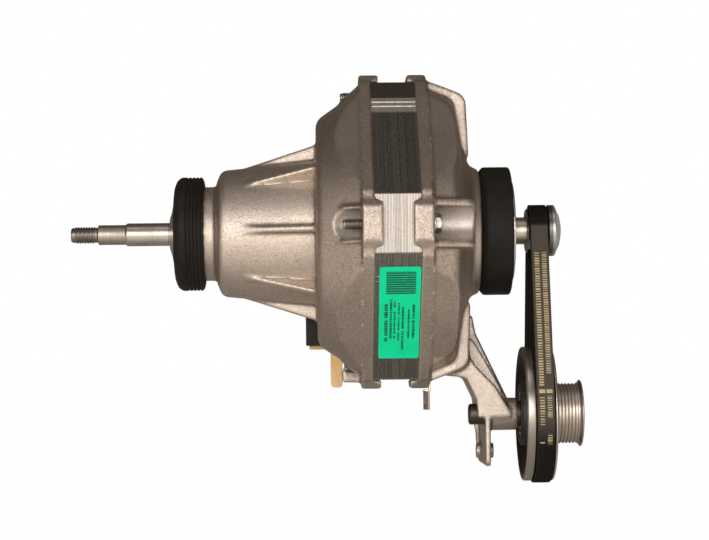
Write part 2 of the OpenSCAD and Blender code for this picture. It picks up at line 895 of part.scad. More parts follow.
// Rating label on the lower front side of the stack
module rating_label() {
    middle_x = (stack_x0 + stack_x1) / 2 + label_side_shift;
    color([0.1, 0.85, 0.6])
    rotate([45, 0, 0]) translate([middle_x, -side_r - 0.16, label_shift]) rotate([90, 0, 0])
        linear_extrude(label_t, center = true)
        polygon(rounded([
            [-label_w / 2, -label_length / 2, 1.2],
            [label_w / 2, -label_length / 2, 1.2],
            [label_w / 2, label_length / 2, 1.2],
            [-label_w / 2, label_length / 2, 1.2]
        ]));
}

// Terminal block let into the lower back of the fan-end bell
module block_envelope(grow) {
    translate([block_x0 - grow, block_y0 - grow, block_z0 - grow])
        cube([
            block_x1 - block_x0 + 2 * grow,
            block_y1 - block_y0 + 2 * grow,
            block_z1 - block_z0 + 2 * grow
        ]);
}

module terminal_block() {
    color([0.1, 0.1, 0.1])
    difference() {
        block_envelope(0);
        for (i = [0 : cell_count - 1])
            translate([block_x0 - 1, block_y0 + 2 + i * cell_w, block_z0 + cell_floor])
                cube([cell_depth + 1, cell_w - 1.6, block_z1 - block_z0 - cell_floor - cell_roof]);
        pin_rows(rest_gap);
    }
}

// Flat pins in the cells of the terminal block
module pin_rows(grow) {
    pin_t = 0.8;
    pin_w = 6.3;
    for (i = [0 : cell_count - 1])
        translate([
            block_x0 + 0.6 - grow,
            block_y0 + 1.2 + (i + 0.5) * cell_w - pin_t / 2 - grow,
            block_z0 + 9 - grow
        ])
            cube([9.5 + 2 * grow, pin_t + 2 * grow, pin_w + 2 * grow]);
}

module connector_pins() {
    color([0.85, 0.83, 0.78]) pin_rows(0);
}

// Light brown shell clipped under the terminal block, with a long hook beside the bell
module connector_shell() {
    foot_z = block_z0 - shell_t;
    color([0.85, 0.62, 0.3]) {
        translate([block_x0 + 1.5, shell_y0, foot_z])
            cube([shell_x0 + shell_w - block_x0 - 1.5, block_y1 - shell_y0 - 2, shell_t - fine]);
        side_plate(hook_y0, block_y1 - 2)
            polygon(rounded([
                [shell_x0, foot_z + 0.5, 0],
                [shell_x0, foot_z - shell_drop, 2],
                [shell_x0 + shell_w, foot_z - shell_drop, 2],
                [shell_x0 + shell_w, foot_z + 0.5, 0]
            ]));
    }
}

// Earth tab: a plate under the head of the lowest bolt, stepped below the ear, where its
// blade is twisted
module earth_tab() {
    half = earth_tab_w / 2;
    top_z = -bolt_circle_r + 5;
    blade_z = -ear_r - 1.6;
    tip_z = -ear_r - earth_tab_out;
    middle_x = belt_flange_x + earth_tab_t / 2 - earth_jog;
    color([0.87, 0.8, 0.6])
    difference() {
        union() {
            translate([belt_flange_x + fine, -half, blade_z])
                cube([earth_tab_t - fine, earth_tab_w, top_z - blade_z]);
            translate([middle_x - 1, -half, blade_z])
                cube([belt_flange_x + earth_tab_t - middle_x + 1, earth_tab_w, earth_tab_t]);
            translate([middle_x, 0, tip_z]) rotate(earth_twist)
                translate([-earth_tab_t / 2, -half, 0])
                    cube([earth_tab_t, earth_tab_w, blade_z - tip_z + 0.6]);
        }
        translate([0, 0, -bolt_circle_r])
            tube(belt_flange_x - 1, belt_flange_x + 2, bolt_d / 2 + bolt_clearance);
        translate([middle_x, 0, tip_z + earth_hole_up]) rotate([0, 90, earth_twist])
            cylinder(r = earth_hole_r, h = 4, center = true);
    }
}

// Belt: ribs inside a flat back, around both pulleys, standing clear of them by a gap.
// Its outline is an arc over each pulley, and both straight runs lean by the same angle.
belt_lean = asin((jockey_land_r - motor_land_r) / centre_distance);

function belt_arc(r, z, from, to, steps) =
    [for (i = [0 : steps])
        let (a = from + (to - from) * i / steps)
        [-z - r * sin(a), r * cos(a)]];
function belt_outline(out) = concat(
    belt_arc(motor_land_r + out, 0, belt_lean, 180 - belt_lean, 16),
    belt_arc(jockey_land_r + out, axis_z, 180 - belt_lean, 360 + belt_lean, 34)
);

module belt_layer(width, outside, inside) {
    on_axis(-width / 2) linear_extrude(width) difference() {
        polygon(belt_outline(outside));
        polygon(belt_outline(inside));
    }
}

module drive_belt() {
    color([0.12, 0.12, 0.12])
    translate([belt_x, 0, 0]) {
        belt_layer(belt_w, belt_back, belt_gap);
        for (i = [0 : rib_count - 1]) translate([(i - (rib_count - 1) / 2) * rib_pitch, 0, 0]) {
            belt_layer(rib_pitch * 0.62, belt_gap + 0.3, 0);
            belt_layer(rib_pitch * 0.35, 0.3, belt_gap - rib_depth);
        }
    }
}

// V grooves between lands, count of them from x0 on
function grooved(x0, count, land_r) = [
    for (i = [0 : count - 1])
        let (middle = x0 + (i + 0.5) * rib_pitch)
        each [
            [middle - rib_pitch * 0.42, land_r],
            [middle - rib_pitch * 0.14, land_r - groove_depth],
            [middle + rib_pitch * 0.14, land_r - groove_depth],
            [middle + rib_pitch * 0.42, land_r]
        ]
];

belt_grooves_x = belt_x - rib_count * rib_pitch / 2;
seat_x0 = belt_x - seat_half;
seat_x1 = belt_x + seat_half;

module motor_pulley() {
    bore = belt_shaft_d / 2 + fine;
    left = seat_x0 - motor_flange_t;
    color([0.7, 0.68, 0.65])
    turned(concat(
        [
            [left, bore],
            [left, motor_flange_r - 0.5],
            [left + 0.5, motor_flange_r],
            [seat_x0 - 0.4, motor_flange_r],
            [seat_x0, motor_land_r]
        ],
        grooved(belt_grooves_x, rib_count, motor_land_r),
        [[seat_x1, motor_land_r], [seat_x1, bore]]
    ));
}

module pulley_end_flange() {
    x = end_flange_x;
    color([0.72, 0.7, 0.67])
    turned(rounded([
        [x, 0, 0],
        [x, end_flange_r - 1.2, 0],
        [x + 0.6, end_flange_r, 0.5],
        [x + 3, end_flange_r, 0.8],
        [x + 4.2, end_flange_r - 2.2, 1],
        [x + end_flange_l - 0.5, 6.5, 5],
        [x + end_flange_l, 0, 0]
    ], 4));
}

// Jockey wheel: grooved rim between two flanges, thin web with windows, and a hub
module jockey_wheel() {
    web_x = wheel_x0 + 6;
    hub_end = wheel_x1 - fine;
    color([0.3, 0.29, 0.28])
    at_jockey() {
        turned(concat(
            [
                [wheel_x0, rim_flange_r - 3],
                [wheel_x0, rim_flange_r - 0.6],
                [wheel_x0 + 0.6, rim_flange_r],
                [seat_x0 - 0.4, rim_flange_r],
                [seat_x0, jockey_land_r]
            ],
            grooved(belt_grooves_x, rib_count, jockey_land_r),
            [
                [seat_x1, jockey_land_r],
                [seat_x1 + 0.4, rim_flange_r],
                [hub_end - 0.6, rim_flange_r],
                [hub_end, rim_flange_r - 0.6],
                [hub_end, rim_inner_r],
                [web_x - 1.5, rim_inner_r]
            ]
        ));
        difference() {
            turned([
                [wheel_hub_x + 0.8, spigot_r + 0.6],
                [wheel_hub_x + 0.8, hub_r - 1],
                [web_x - 1, hub_r],
                [web_x, hub_r + 1],
                [web_x, rim_inner_r + 1],
                [web_x + web_t, rim_inner_r + 1],
                [web_x + web_t, hub_r + 1],
                [hub_end, hub_r],
                [hub_end, spigot_r + 0.6]
            ]);
            on_axis(web_x - 1) linear_extrude(web_t + 2) web_windows();
        }
        wheel_hub(hub_end);
    }
}

module wheel_hub(hub_end) {
    seat = wheel_bearing_r + fine;
    turned([
        [wheel_hub_x, seat],
        [wheel_hub_x, hub_r - 2],
        [wheel_hub_x + 1, hub_r - 1],
        [hub_end, hub_r - 1],
        [hub_end, spigot_r + rest_gap],
        [hub_end - spigot_l, spigot_r + rest_gap],
        [hub_end - spigot_l, wheel_bearing_r - bearing_seat_lip],
        [bearing_a_x + wheel_bearing_w, wheel_bearing_r - bearing_seat_lip],
        [bearing_a_x + wheel_bearing_w, seat]
    ]);
}

module web_windows() {
    spoke_w = 5;
    difference() {
        circle(r = rim_inner_r - 1.2);
        circle(r = hub_r + 1.4);
        for (i = [0 : window_count - 1]) rotate(360 * i / window_count)
            translate([0, -spoke_w / 2]) square([rim_flange_r, spoke_w]);
    }
}

// Drum pulley, seated by its spigot in the hub of the jockey wheel
module drum_pulley() {
    seat = wheel_bearing_r + fine;
    flange_x = drum_x1 - drum_flange_t;
    color([0.75, 0.7, 0.64])
    at_jockey() turned(concat(
        [
            [wheel_x1 - spigot_l, wheel_bearing_r - bearing_seat_lip],
            [wheel_x1 - spigot_l, spigot_r],
            [wheel_x1, spigot_r],
            [wheel_x1, drum_land_r]
        ],
        grooved(wheel_x1 + drum_first_land, drum_grooves, drum_land_r),
        [
            [flange_x, drum_land_r],
            [flange_x + 0.7, drum_flange_r - 0.4],
            [flange_x + 1.1, drum_flange_r],
            [drum_x1 - 0.4, drum_flange_r],
            [drum_x1, drum_flange_r - 0.5],
            [drum_x1, seat],
            [bearing_b_x, seat],
            [bearing_b_x, wheel_bearing_r - bearing_seat_lip]
        ]
    ));
}

// Fixed axle of the jockey wheel, with a collar against the first bearing
module jockey_axle() {
    groove_x = bearing_b_x + wheel_bearing_w;
    color([0.62, 0.6, 0.58])
    at_jockey() turned([
        [axle_x0, 0],
        [axle_x0, axle_r - 0.8],
        [axle_x0 + 0.8, axle_r],
        [boss_x1, axle_r],
        [boss_x1, axle_collar_r],
        [bearing_a_x - fine, axle_collar_r],
        [bearing_a_x - fine, axle_r],
        [groove_x, axle_r],
        [groove_x, axle_r - 0.5],
        [groove_x + circlip_t, axle_r - 0.5],
        [groove_x + circlip_t, axle_r],
        [axle_x1 - 0.6, axle_r],
        [axle_x1, axle_r - 0.6],
        [axle_x1, 0]
    ]);
}

// Open retaining ring for a groove that starts at x
module circlip(x, groove_r, outer_r) {
    on_axis(x + fine) linear_extrude(circlip_t - 2 * fine) difference() {
        circle(r = outer_r);
        circle(r = groove_r + fine);
        translate([0, -1.5]) square([outer_r + 1, 3]);
    }
}

module axle_circlip() {
    color([0.4, 0.4, 0.42])
    at_jockey() circlip(bearing_b_x + wheel_bearing_w, axle_r - 0.5, axle_r + 2);
}

module shaft_circlip() {
    color([0.4, 0.4, 0.42])
    circlip(belt_circlip_x, belt_bearing_bore / 2 - 0.5, belt_bearing_bore / 2 + 2);
}

// Ball bearings: rings with a round track, balls on the middle circle and a cage
function track(bore_r, outer_r) = (bore_r + outer_r) / 2;
function ball_size(bore_r, outer_r) = 0.3 * (outer_r - bore_r);
function ring_wall(bore_r, outer_r) = 0.32 * (outer_r - bore_r);

module ball_track(x, bore_r, outer_r) {
    on_axis(x) rotate_extrude() translate([track(bore_r, outer_r), 0])
        circle(r = ball_size(bore_r, outer_r) + run_gap, $fn = 48);
}

module bearing_outer(x, w, bore_r, outer_r) {
    color([0.66, 0.66, 0.67])
    difference() {
        tube(x, x + w, outer_r, outer_r - ring_wall(bore_r, outer_r));
        ball_track(x + w / 2, bore_r, outer_r);
    }
}

module bearing_inner(x, w, bore_r, outer_r) {
    color([0.66, 0.66, 0.67])
    difference() {
        tube(x, x + w, bore_r + ring_wall(bore_r, outer_r), bore_r + fine);
        ball_track(x + w / 2, bore_r, outer_r);
    }
}

module bearing_balls(x, w, bore_r, outer_r, count, grow = 0) {
    for (i = [0 : count - 1]) rotate([360 * i / count, 0, 0])
        translate([x + w / 2, 0, track(bore_r, outer_r)])
            sphere(r = ball_size(bore_r, outer_r) + grow, $fn = 48);
}

module bearing_cage(x, w, bore_r, outer_r, count) {
    half_w = ball_size(bore_r, outer_r) + 0.6;
    half_t = 0.09 * (outer_r - bore_r);
    middle = track(bore_r, outer_r);
    color([0.75, 0.6, 0.3])
    difference() {
        tube(x + w / 2 - half_w, x + w / 2 + half_w, middle + half_t, middle - half_t);
        bearing_balls(x, w, bore_r, outer_r, count, 0.08);
    }
}

fan_bore_r = fan_bearing_bore / 2;
fan_outer_r = fan_bearing_od / 2;
belt_bore_r = belt_bearing_bore / 2;
belt_outer_r = belt_bearing_od / 2;
fan_balls = 7;
belt_balls = 8;
wheel_balls = 8;

module fan_bearing_outer() {
    bearing_outer(fan_bearing_x, fan_bearing_w, fan_bore_r, fan_outer_r);
}

module fan_bearing_inner() {
    bearing_inner(fan_bearing_x, fan_bearing_w, fan_bore_r, fan_outer_r);
}

module fan_bearing_balls() {
    color([0.8, 0.8, 0.82])
    bearing_balls(fan_bearing_x, fan_bearing_w, fan_bore_r, fan_outer_r, fan_balls);
}

module fan_bearing_cage() {
    bearing_cage(fan_bearing_x, fan_bearing_w, fan_bore_r, fan_outer_r, fan_balls);
}

module belt_bearing_outer() {
    bearing_outer(belt_bearing_x, belt_bearing_w, belt_bore_r, belt_outer_r);
}

module belt_bearing_inner() {
    bearing_inner(belt_bearing_x, belt_bearing_w, belt_bore_r, belt_outer_r);
}

module belt_bearing_balls() {
    color([0.8, 0.8, 0.82])
    bearing_balls(belt_bearing_x, belt_bearing_w, belt_bore_r, belt_outer_r, belt_balls);
}

module belt_bearing_cage() {
    bearing_cage(belt_bearing_x, belt_bearing_w, belt_bore_r, belt_outer_r, belt_balls);
}

module at_wheel_bearings() {
    for (x = [bearing_a_x, bearing_b_x]) translate([x, 0, axis_z]) children();
}

module wheel_bearing_outers() {
    at_wheel_bearings() bearing_outer(0, wheel_bearing_w, axle_r, wheel_bearing_r);
}

module wheel_bearing_inners() {
    at_wheel_bearings() bearing_inner(0, wheel_bearing_w, axle_r, wheel_bearing_r);
}

module wheel_bearing_balls() {
    color([0.8, 0.8, 0.82])
    at_wheel_bearings() bearing_balls(0, wheel_bearing_w, axle_r, wheel_bearing_r, wheel_balls);
}

module wheel_bearing_cages() {
    at_wheel_bearings() bearing_cage(0, wheel_bearing_w, axle_r, wheel_bearing_r, wheel_balls);
}

// Coned spring washer that pushes the fan-end bearing against its balls
module preload_spring() {
    outer = fan_outer_r - 0.3;
    inner = outer - 2.4;
    x = fan_bearing_x - 0.1;
    color([0.55, 0.55, 0.57])
    turned([
        [x, outer],
        [x - 0.6, outer],
        [x - 1.3, inner],
        [x - 0.7, inner]
    ]);
}

// Rotor: stepped shaft, laminated core and cast cage with small fan blades
belt_circlip_x = belt_bearing_x + belt_bearing_w;

module rotor_shaft() {
    stub_r = stub_d / 2;
    step_r = fan_step_d / 2;
    thick_r = fan_shaft_d / 2;
    belt_r = belt_shaft_d / 2;
    fan_end = fan_bearing_x - 0.4;
    relief_x = fan_cap_tip - 0.5;
    relief_r = thick_r - 0.2;
    color([0.68, 0.66, 0.63])
    turned([
        [shaft_x0, 0],
        [shaft_x0, stub_r - 0.9],
        [shaft_x0 + 0.9, stub_r],
        [stub_x, stub_r],
        [stub_x, step_r - 0.3],
        [stub_x + 0.3, step_r],
        [step_x, step_r],
        [step_x + 1, thick_r],
        [relief_x, thick_r],
        [relief_x, relief_r],
        [fan_end, relief_r],
        [fan_end, fan_bore_r],
        [fan_bearing_x + fan_bearing_w, fan_bore_r],
        [fan_bearing_x + fan_bearing_w, fan_bore_r + 1.4],
        [fan_bearing_x + fan_bearing_w + 6, shaft_body_r],
        [stack_x0 - 1, shaft_body_r],
        [stack_x0, rotor_seat_r],
        [stack_x1, rotor_seat_r],
        [stack_x1 + 1, shaft_body_r],
        [belt_bearing_x - 4, shaft_body_r],
        [belt_bearing_x, belt_bore_r + 1.2],
        [belt_bearing_x, belt_bore_r],
        [belt_circlip_x, belt_bore_r],
        [belt_circlip_x, belt_bore_r - 0.5],
        [belt_circlip_x + circlip_t, belt_bore_r - 0.5],
        [belt_circlip_x + circlip_t + 0.6, belt_r],
        [shaft_x1 - fine, belt_r],
        [shaft_x1 - fine, 0]
    ]);
}

bar_count = 28;
bar_r = 1.7;
bar_circle_r = rotor_r - 3.2;
end_ring_t = 7;
end_ring_r0 = 17;
end_ring_r1 = rotor_r - 1;

module cage_bars(grow) {
    for (i = [0 : bar_count - 1]) rotate(360 * i / bar_count)
        translate([bar_circle_r, 0]) circle(r = bar_r + grow, $fn = 24);
}

module rotor_core() {
    color([0.3, 0.29, 0.28])
    on_axis(stack_x0) linear_extrude(stack_length) difference() {
        circle(r = rotor_r);
        circle(r = rotor_seat_r + fine);
        cage_bars(fine);
    }
}

module rotor_cage() {
    color([0.78, 0.77, 0.75]) {
        on_axis(stack_x0 - 1) linear_extrude(stack_length + 2) cage_bars(0);
        cage_end(stack_x0, -1);
        cage_end(stack_x1, 1);
    }
}

module cage_end(x_face, away) {
    blades = 14;
    blade_l = 4.5;
    near = min(x_face, x_face + away * end_ring_t);
    tube(near, near + end_ring_t, end_ring_r1, end_ring_r0);
    blade_x = away > 0 ? near + end_ring_t - 0.5 : near - blade_l + 0.5;
    for (i = [0 : blades - 1]) rotate([360 * i / blades, 0, 0])
        translate([blade_x, -1, end_ring_r0 + 2]) cube([blade_l, 2, end_ring_r1 - end_ring_r0 - 3]);
}

fan_end_bell();
belt_end_bell();
stator_core();
slot_liners();
slot_windings();
fan_side_winding();
belt_side_winding();
winding_lacing();
thermal_cutout();
fan_end_ring();
belt_end_ring();
fan_end_cap();
belt_end_cap();
through_bolts();
rating_label();
terminal_block();
connector_shell();
connector_pins();
earth_tab();
drive_belt();
jockey_axle();
axle_circlip();
preload_spring();
fan_bearing_outer();
fan_bearing_inner();
fan_bearing_balls();
fan_bearing_cage();
belt_bearing_outer();
belt_bearing_inner();
belt_bearing_balls();
belt_bearing_cage();
wheel_bearing_outers();
wheel_bearing_inners();
wheel_bearing_balls();
wheel_bearing_cages();
rotor_shaft();
shaft_circlip();
rotor_core();
rotor_cage();
motor_pulley();
pulley_end_flange();
jockey_wheel();
drum_pulley();
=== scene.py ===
# %% [markdown]
# # A clothes dryer motor
# This lesson dresses a CAD model of a dryer motor for a studio picture. The CAD solids arrive
# as a fixed frame: their sizes and places are right, but their edges are razor sharp and they
# have no finish. Each step below says what a piece is on the real motor, how it could be made,
# and why this way was chosen. All lengths in the script are millimetres until `mm` turns them
# into Blender's metres, apart from the lamps' places and sizes, which are metres. X is the
# motor axis, Z is up and the camera looks along +Y.

# %% Load the frame
import json
import math

import bpy
import numpy as np
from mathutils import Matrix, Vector

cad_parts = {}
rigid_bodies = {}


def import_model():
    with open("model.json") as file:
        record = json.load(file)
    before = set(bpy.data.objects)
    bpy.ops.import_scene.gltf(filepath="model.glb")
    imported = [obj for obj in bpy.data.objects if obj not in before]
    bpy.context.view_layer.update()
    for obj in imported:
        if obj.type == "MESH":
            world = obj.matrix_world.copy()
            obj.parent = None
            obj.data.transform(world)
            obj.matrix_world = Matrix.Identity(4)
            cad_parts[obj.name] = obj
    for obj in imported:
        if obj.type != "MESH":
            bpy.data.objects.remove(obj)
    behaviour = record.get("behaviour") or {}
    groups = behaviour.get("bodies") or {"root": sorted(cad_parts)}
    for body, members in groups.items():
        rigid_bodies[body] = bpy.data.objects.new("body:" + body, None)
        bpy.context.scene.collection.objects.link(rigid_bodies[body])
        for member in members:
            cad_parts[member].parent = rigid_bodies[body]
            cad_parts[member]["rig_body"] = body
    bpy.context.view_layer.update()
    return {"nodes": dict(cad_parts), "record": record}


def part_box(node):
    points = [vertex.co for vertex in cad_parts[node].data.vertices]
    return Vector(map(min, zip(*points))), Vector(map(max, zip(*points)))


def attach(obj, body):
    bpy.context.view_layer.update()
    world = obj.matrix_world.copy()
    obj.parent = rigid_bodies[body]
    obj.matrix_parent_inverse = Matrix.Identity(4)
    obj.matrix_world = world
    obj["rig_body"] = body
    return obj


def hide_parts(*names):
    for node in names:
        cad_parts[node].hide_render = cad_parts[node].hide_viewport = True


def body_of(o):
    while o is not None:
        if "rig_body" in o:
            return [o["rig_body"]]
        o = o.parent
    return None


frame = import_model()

PER_METRE = 1000


def mm(length):
    return length / PER_METRE


def span(node):
    """Lowest and highest corner of a CAD node, in millimetres."""
    low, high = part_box(node)
    return low * PER_METRE, high * PER_METRE


# %% [markdown]
# ## Camera and light
# The photograph was taken from about a metre away, a little below the motor axis, with the
# lens tilted up by two degrees. A long lens at that distance keeps the slight perspective.
# Place, turn and lens come from fitting some thirty points of the picture.

# %% Camera
CAMERA_PLACE = (-83.0, -997.3, -57.7)
CAMERA_TURN = (92.28, 0.646, -0.895)
SENSOR_WIDTH = 36
LENS = 105.6
NEAREST = 50

camera_data = bpy.data.cameras.new("camera")
camera_data.sensor_width = SENSOR_WIDTH
camera_data.lens = LENS
camera_data.clip_start = mm(NEAREST)
camera = bpy.data.objects.new("camera", camera_data)
camera.location = [mm(v) for v in CAMERA_PLACE]
camera.rotation_euler = [math.radians(v) for v in CAMERA_TURN]
bpy.context.scene.collection.objects.link(camera)
bpy.context.scene.camera = camera
bpy.context.scene.view_settings.view_transform = "Standard"
print("camera at", CAMERA_PLACE, "mm, lens", LENS, "mm")

# %% [markdown]
# The light is one large soft box close to the camera. Surfaces that face the lens are bright
# and those at 45 degrees fall dark, which is what shows the square stack and its flats. A
# small, weak box from above only lifts the top edges, and a dim warm room fills the shadows.

# %% Studio light
AIM = (-70, 0, -20)
FRONT_BOX = {"place": (-0.35, -1.5, -0.12), "size": (2.3, 1.6), "power": 40}
TOP_BOX = {"place": (0.0, -0.7, 1.4), "size": (0.7, 0.7), "power": 1.5}


def soft_box(name, place, size, power):
    """A rectangular lamp that looks at the middle of the motor."""
    lamp = bpy.data.lights.new(name, "AREA")
    lamp.shape = "RECTANGLE"
    lamp.size, lamp.size_y = size
    lamp.energy = power
    holder = bpy.data.objects.new(name, lamp)
    holder.location = place
    view = Vector([mm(v) for v in AIM]) - Vector(place)
    holder.rotation_euler = view.to_track_quat("-Z", "Y").to_euler()
    bpy.context.scene.collection.objects.link(holder)
    print(name, "of", size, "m at", place)


soft_box("front_box", **FRONT_BOX)
soft_box("top_box", **TOP_BOX)

# %% [markdown]
# ## Finishes
# Every finish is a small sum: noise for the grain, a mask for wear, a height for the bump.
# Wiring such sums by hand takes a screenful of nodes, so a small class wraps a socket and
# lets Python's own operators add the Math nodes: `a * b` adds a Multiply node, and `a < b`
# gives a mask that is 1 where it holds and 0 elsewhere.


# %% Shader sums
class Value:
    """A number that varies over a surface. Sums with it add Math nodes."""

    def __init__(self, finish, socket):
        self.finish = finish
        self.socket = socket

    def math(self, operation, *numbers):
        return self.finish.node("ShaderNodeMath", {"operation": operation},
                                dict(enumerate(numbers)))

    def __add__(self, other):
        return self.math("ADD", self, other)

    def __sub__(self, other):
        return self.math("SUBTRACT", self, other)

    def __rsub__(self, other):
        return self.math("SUBTRACT", other, self)

    def __mul__(self, other):
        return self.math("MULTIPLY", self, other)

    def __gt__(self, other):
        return self.math("GREATER_THAN", self, other)

    def __lt__(self, other):
        return self.math("LESS_THAN", self, other)

    __radd__ = __add__
    __rmul__ = __mul__

    def power(self, exponent):
        return self.math("POWER", self, exponent)

    def wave(self):
        return self.math("SINE", self)

    def whole(self):
        return self.math("FLOOR", self)

    def fraction(self):
        return self.math("FRACT", self)

    def size(self):
        return self.math("ABSOLUTE", self)

    def ramp(self, start, end, low=0.0, high=1.0):
        """Goes smoothly from low to high while this value goes from start to end."""
        return self.finish.node(
            "ShaderNodeMapRange", {"interpolation_type": "SMOOTHSTEP"},
            {"Value": self, "From Min": start, "From Max": end, "To Min": low, "To Max": high})


# %% [markdown]
# A second class holds a material while it's being built. Its short methods add the textures
# that the finishes below share, with their grain in millimetres. Colours go through a Mix
# node, because a Math node would turn them grey.


# %% A finish
class Finish:
    """A material, its shader, and short ways to add the nodes that this object needs."""

    def __init__(self, name):
        self.material = bpy.data.materials.new(name)
        self.material.use_nodes = True
        self.tree = self.material.node_tree
        self.shader = self.tree.nodes["Principled BSDF"]
        self.place = self.node("ShaderNodeTexCoord", output="Object")

    def node(self, kind, settings=None, inputs=None, output=0):
        """Any node: its settings are set first, then the values or links of its sockets."""
        made = self.tree.nodes.new(kind)
        for key, value in (settings or {}).items():
            setattr(made, key, value)
        for key, value in (inputs or {}).items():
            self.feed(made.inputs[key], value)
        return Value(self, made.outputs[output])

    def feed(self, socket, value):
        if isinstance(value, Value):
            self.tree.links.new(value.socket, socket)
        else:
            socket.default_value = value

    def set(self, sockets):
        for name, value in sockets.items():
            self.feed(self.shader.inputs[name], value)
        return self

    def axes(self, place=None):
        """The three coordinates of a place, each as a Value."""
        split = self.node("ShaderNodeSeparateXYZ", inputs={0: place or self.place}).socket.node
        return [Value(self, split.outputs[i]) for i in range(3)]

    def joined(self, x, y, z):
        return self.node("ShaderNodeCombineXYZ", inputs={0: x, 1: y, 2: z})

    def noise(self, grain, detail=3.0, rough=0.6, place=None):
        """Noise whose patches are about grain millimetres wide."""
        return self.node("ShaderNodeTexNoise", {},
                         {"Vector": place or self.place, "Scale": 1 / mm(grain),
                          "Detail": detail, "Roughness": rough})

    def cells(self, grain):
        """Distance to the nearest of many scattered points, about grain millimetres apart."""
        return self.node("ShaderNodeTexVoronoi", {},
                         {"Vector": self.place, "Scale": 1 / mm(grain)})

    def dice(self, place):
        """A random number from 0 to 1 for each whole-numbered place."""
        return self.node("ShaderNodeTexWhiteNoise", {"noise_dimensions": "3D"}, {"Vector": place})

    def mix(self, share, first, second):
        """Colour between first and second; colours are plain triples or Values."""
        made = self.tree.nodes.new("ShaderNodeMix")
        made.data_type = "RGBA"
        for index, value in ((0, share), (6, first), (7, second)):
            self.feed(made.inputs[index], (*value, 1) if isinstance(value, tuple) else value)
        return Value(self, made.outputs[2])

    def bump(self, height, depth, strength=1.0):
        """Bump from a height of 0 to 1 that stands for depth millimetres."""
        return self.node("ShaderNodeBump", {},
                         {"Height": height, "Distance": mm(depth), "Strength": strength})


# %% [markdown]
# ### Cast aluminium
# The end bells are die cast and tumbled: a warm grey skin, dull and slightly grainy, with
# soft stains, a few bright specks where it was knocked and painted glints of light on its grain.
# A Principled shader with high roughness gives the wide, soft highlight; noise of several sizes
# gives stain, sand and grain.

# %% Colours of the casting
CAST_LIGHT = (0.62, 0.51, 0.428)
CAST_DARK = (0.36, 0.292, 0.24)
# Dark tone of the random grain and of the painted shade in creases.
CAST_GRAIN_AND_CREASE_SHADE = (0.2, 0.155, 0.122)
CAST_EDGE = (0.86, 0.76, 0.65)
CAST_LIGHTER = (0.9, 0.79, 0.665)
CAST_POCKET_PAINTED_GREY = (0.6, 0.57, 0.54)
CAST_ROUGH = (0.44, 0.56)

# %% [markdown]
# The skin isn't the same all over. The cone, the belt-end dome and the arm are lighter than the
# broad part between them. The bolt pocket floors are painted greyer, against the warm light
# that bounces between their walls. Each such zone is a mask on Object coordinates, with a soft
# border where the real one has one, and bits of bright flash lie along the bells' two rims.

# %% Zones of the casting
STAINED_FROM, STAINED_TO = -86, -20
ARM_ROOT_R, ARM_ROOT_Z = 65, -57
ARM_START = -31
DOME_LIGHTER, ARM_LIGHTER = 0.6, 1.6
POCKET_HALF = 8.2
POCKET_DEPTH = (44, 66.5)
POCKET_START = (-76, -70)
POCKET_CLOSE = -11
RIM_EDGES = (-64.3, -32.1)
FLASH_HALF = 0.45


def lighter_zone(x, y, z):
    """Lighter cone on the left, a little lighter dome on the right, much lighter arm below it."""
    cone = x.ramp(mm(STAINED_FROM + 2), mm(STAINED_FROM - 2))
    dome = x.ramp(mm(STAINED_TO - 3), mm(STAINED_TO + 2), 0, DOME_LIGHTER)
    below = ((y * y + z * z).power(0.5) > mm(ARM_ROOT_R)) * (z < mm(ARM_ROOT_Z))
    arm = below * (x > mm(ARM_START)) * (x < mm(STAINED_TO))
    return cone + dome + arm * ARM_LIGHTER


def pocket_zone(x, y, z):
    """The floors of the bolt pockets, at the four corners of the stack."""
    low, high = POCKET_DEPTH
    floors = sum((side.size() < mm(POCKET_HALF)) * (depth.size() > mm(low))
                 * (depth.size() < mm(high)) for side, depth in ((z, y), (y, z)))
    start, end = POCKET_START
    return floors * x.ramp(mm(start), mm(end)) * (x < mm(POCKET_CLOSE))


def rim_flash(skin, x):
    """Torn shreds of bright metal along the edges where the mould parted."""
    shreds = skin.noise(6, 2, 0.5).ramp(0.54, 0.58) * skin.noise(1.2, 2, 0.7).ramp(0.5, 0.56)
    return shreds * sum((x - mm(edge)).size() < mm(FLASH_HALF) for edge in RIM_EDGES)
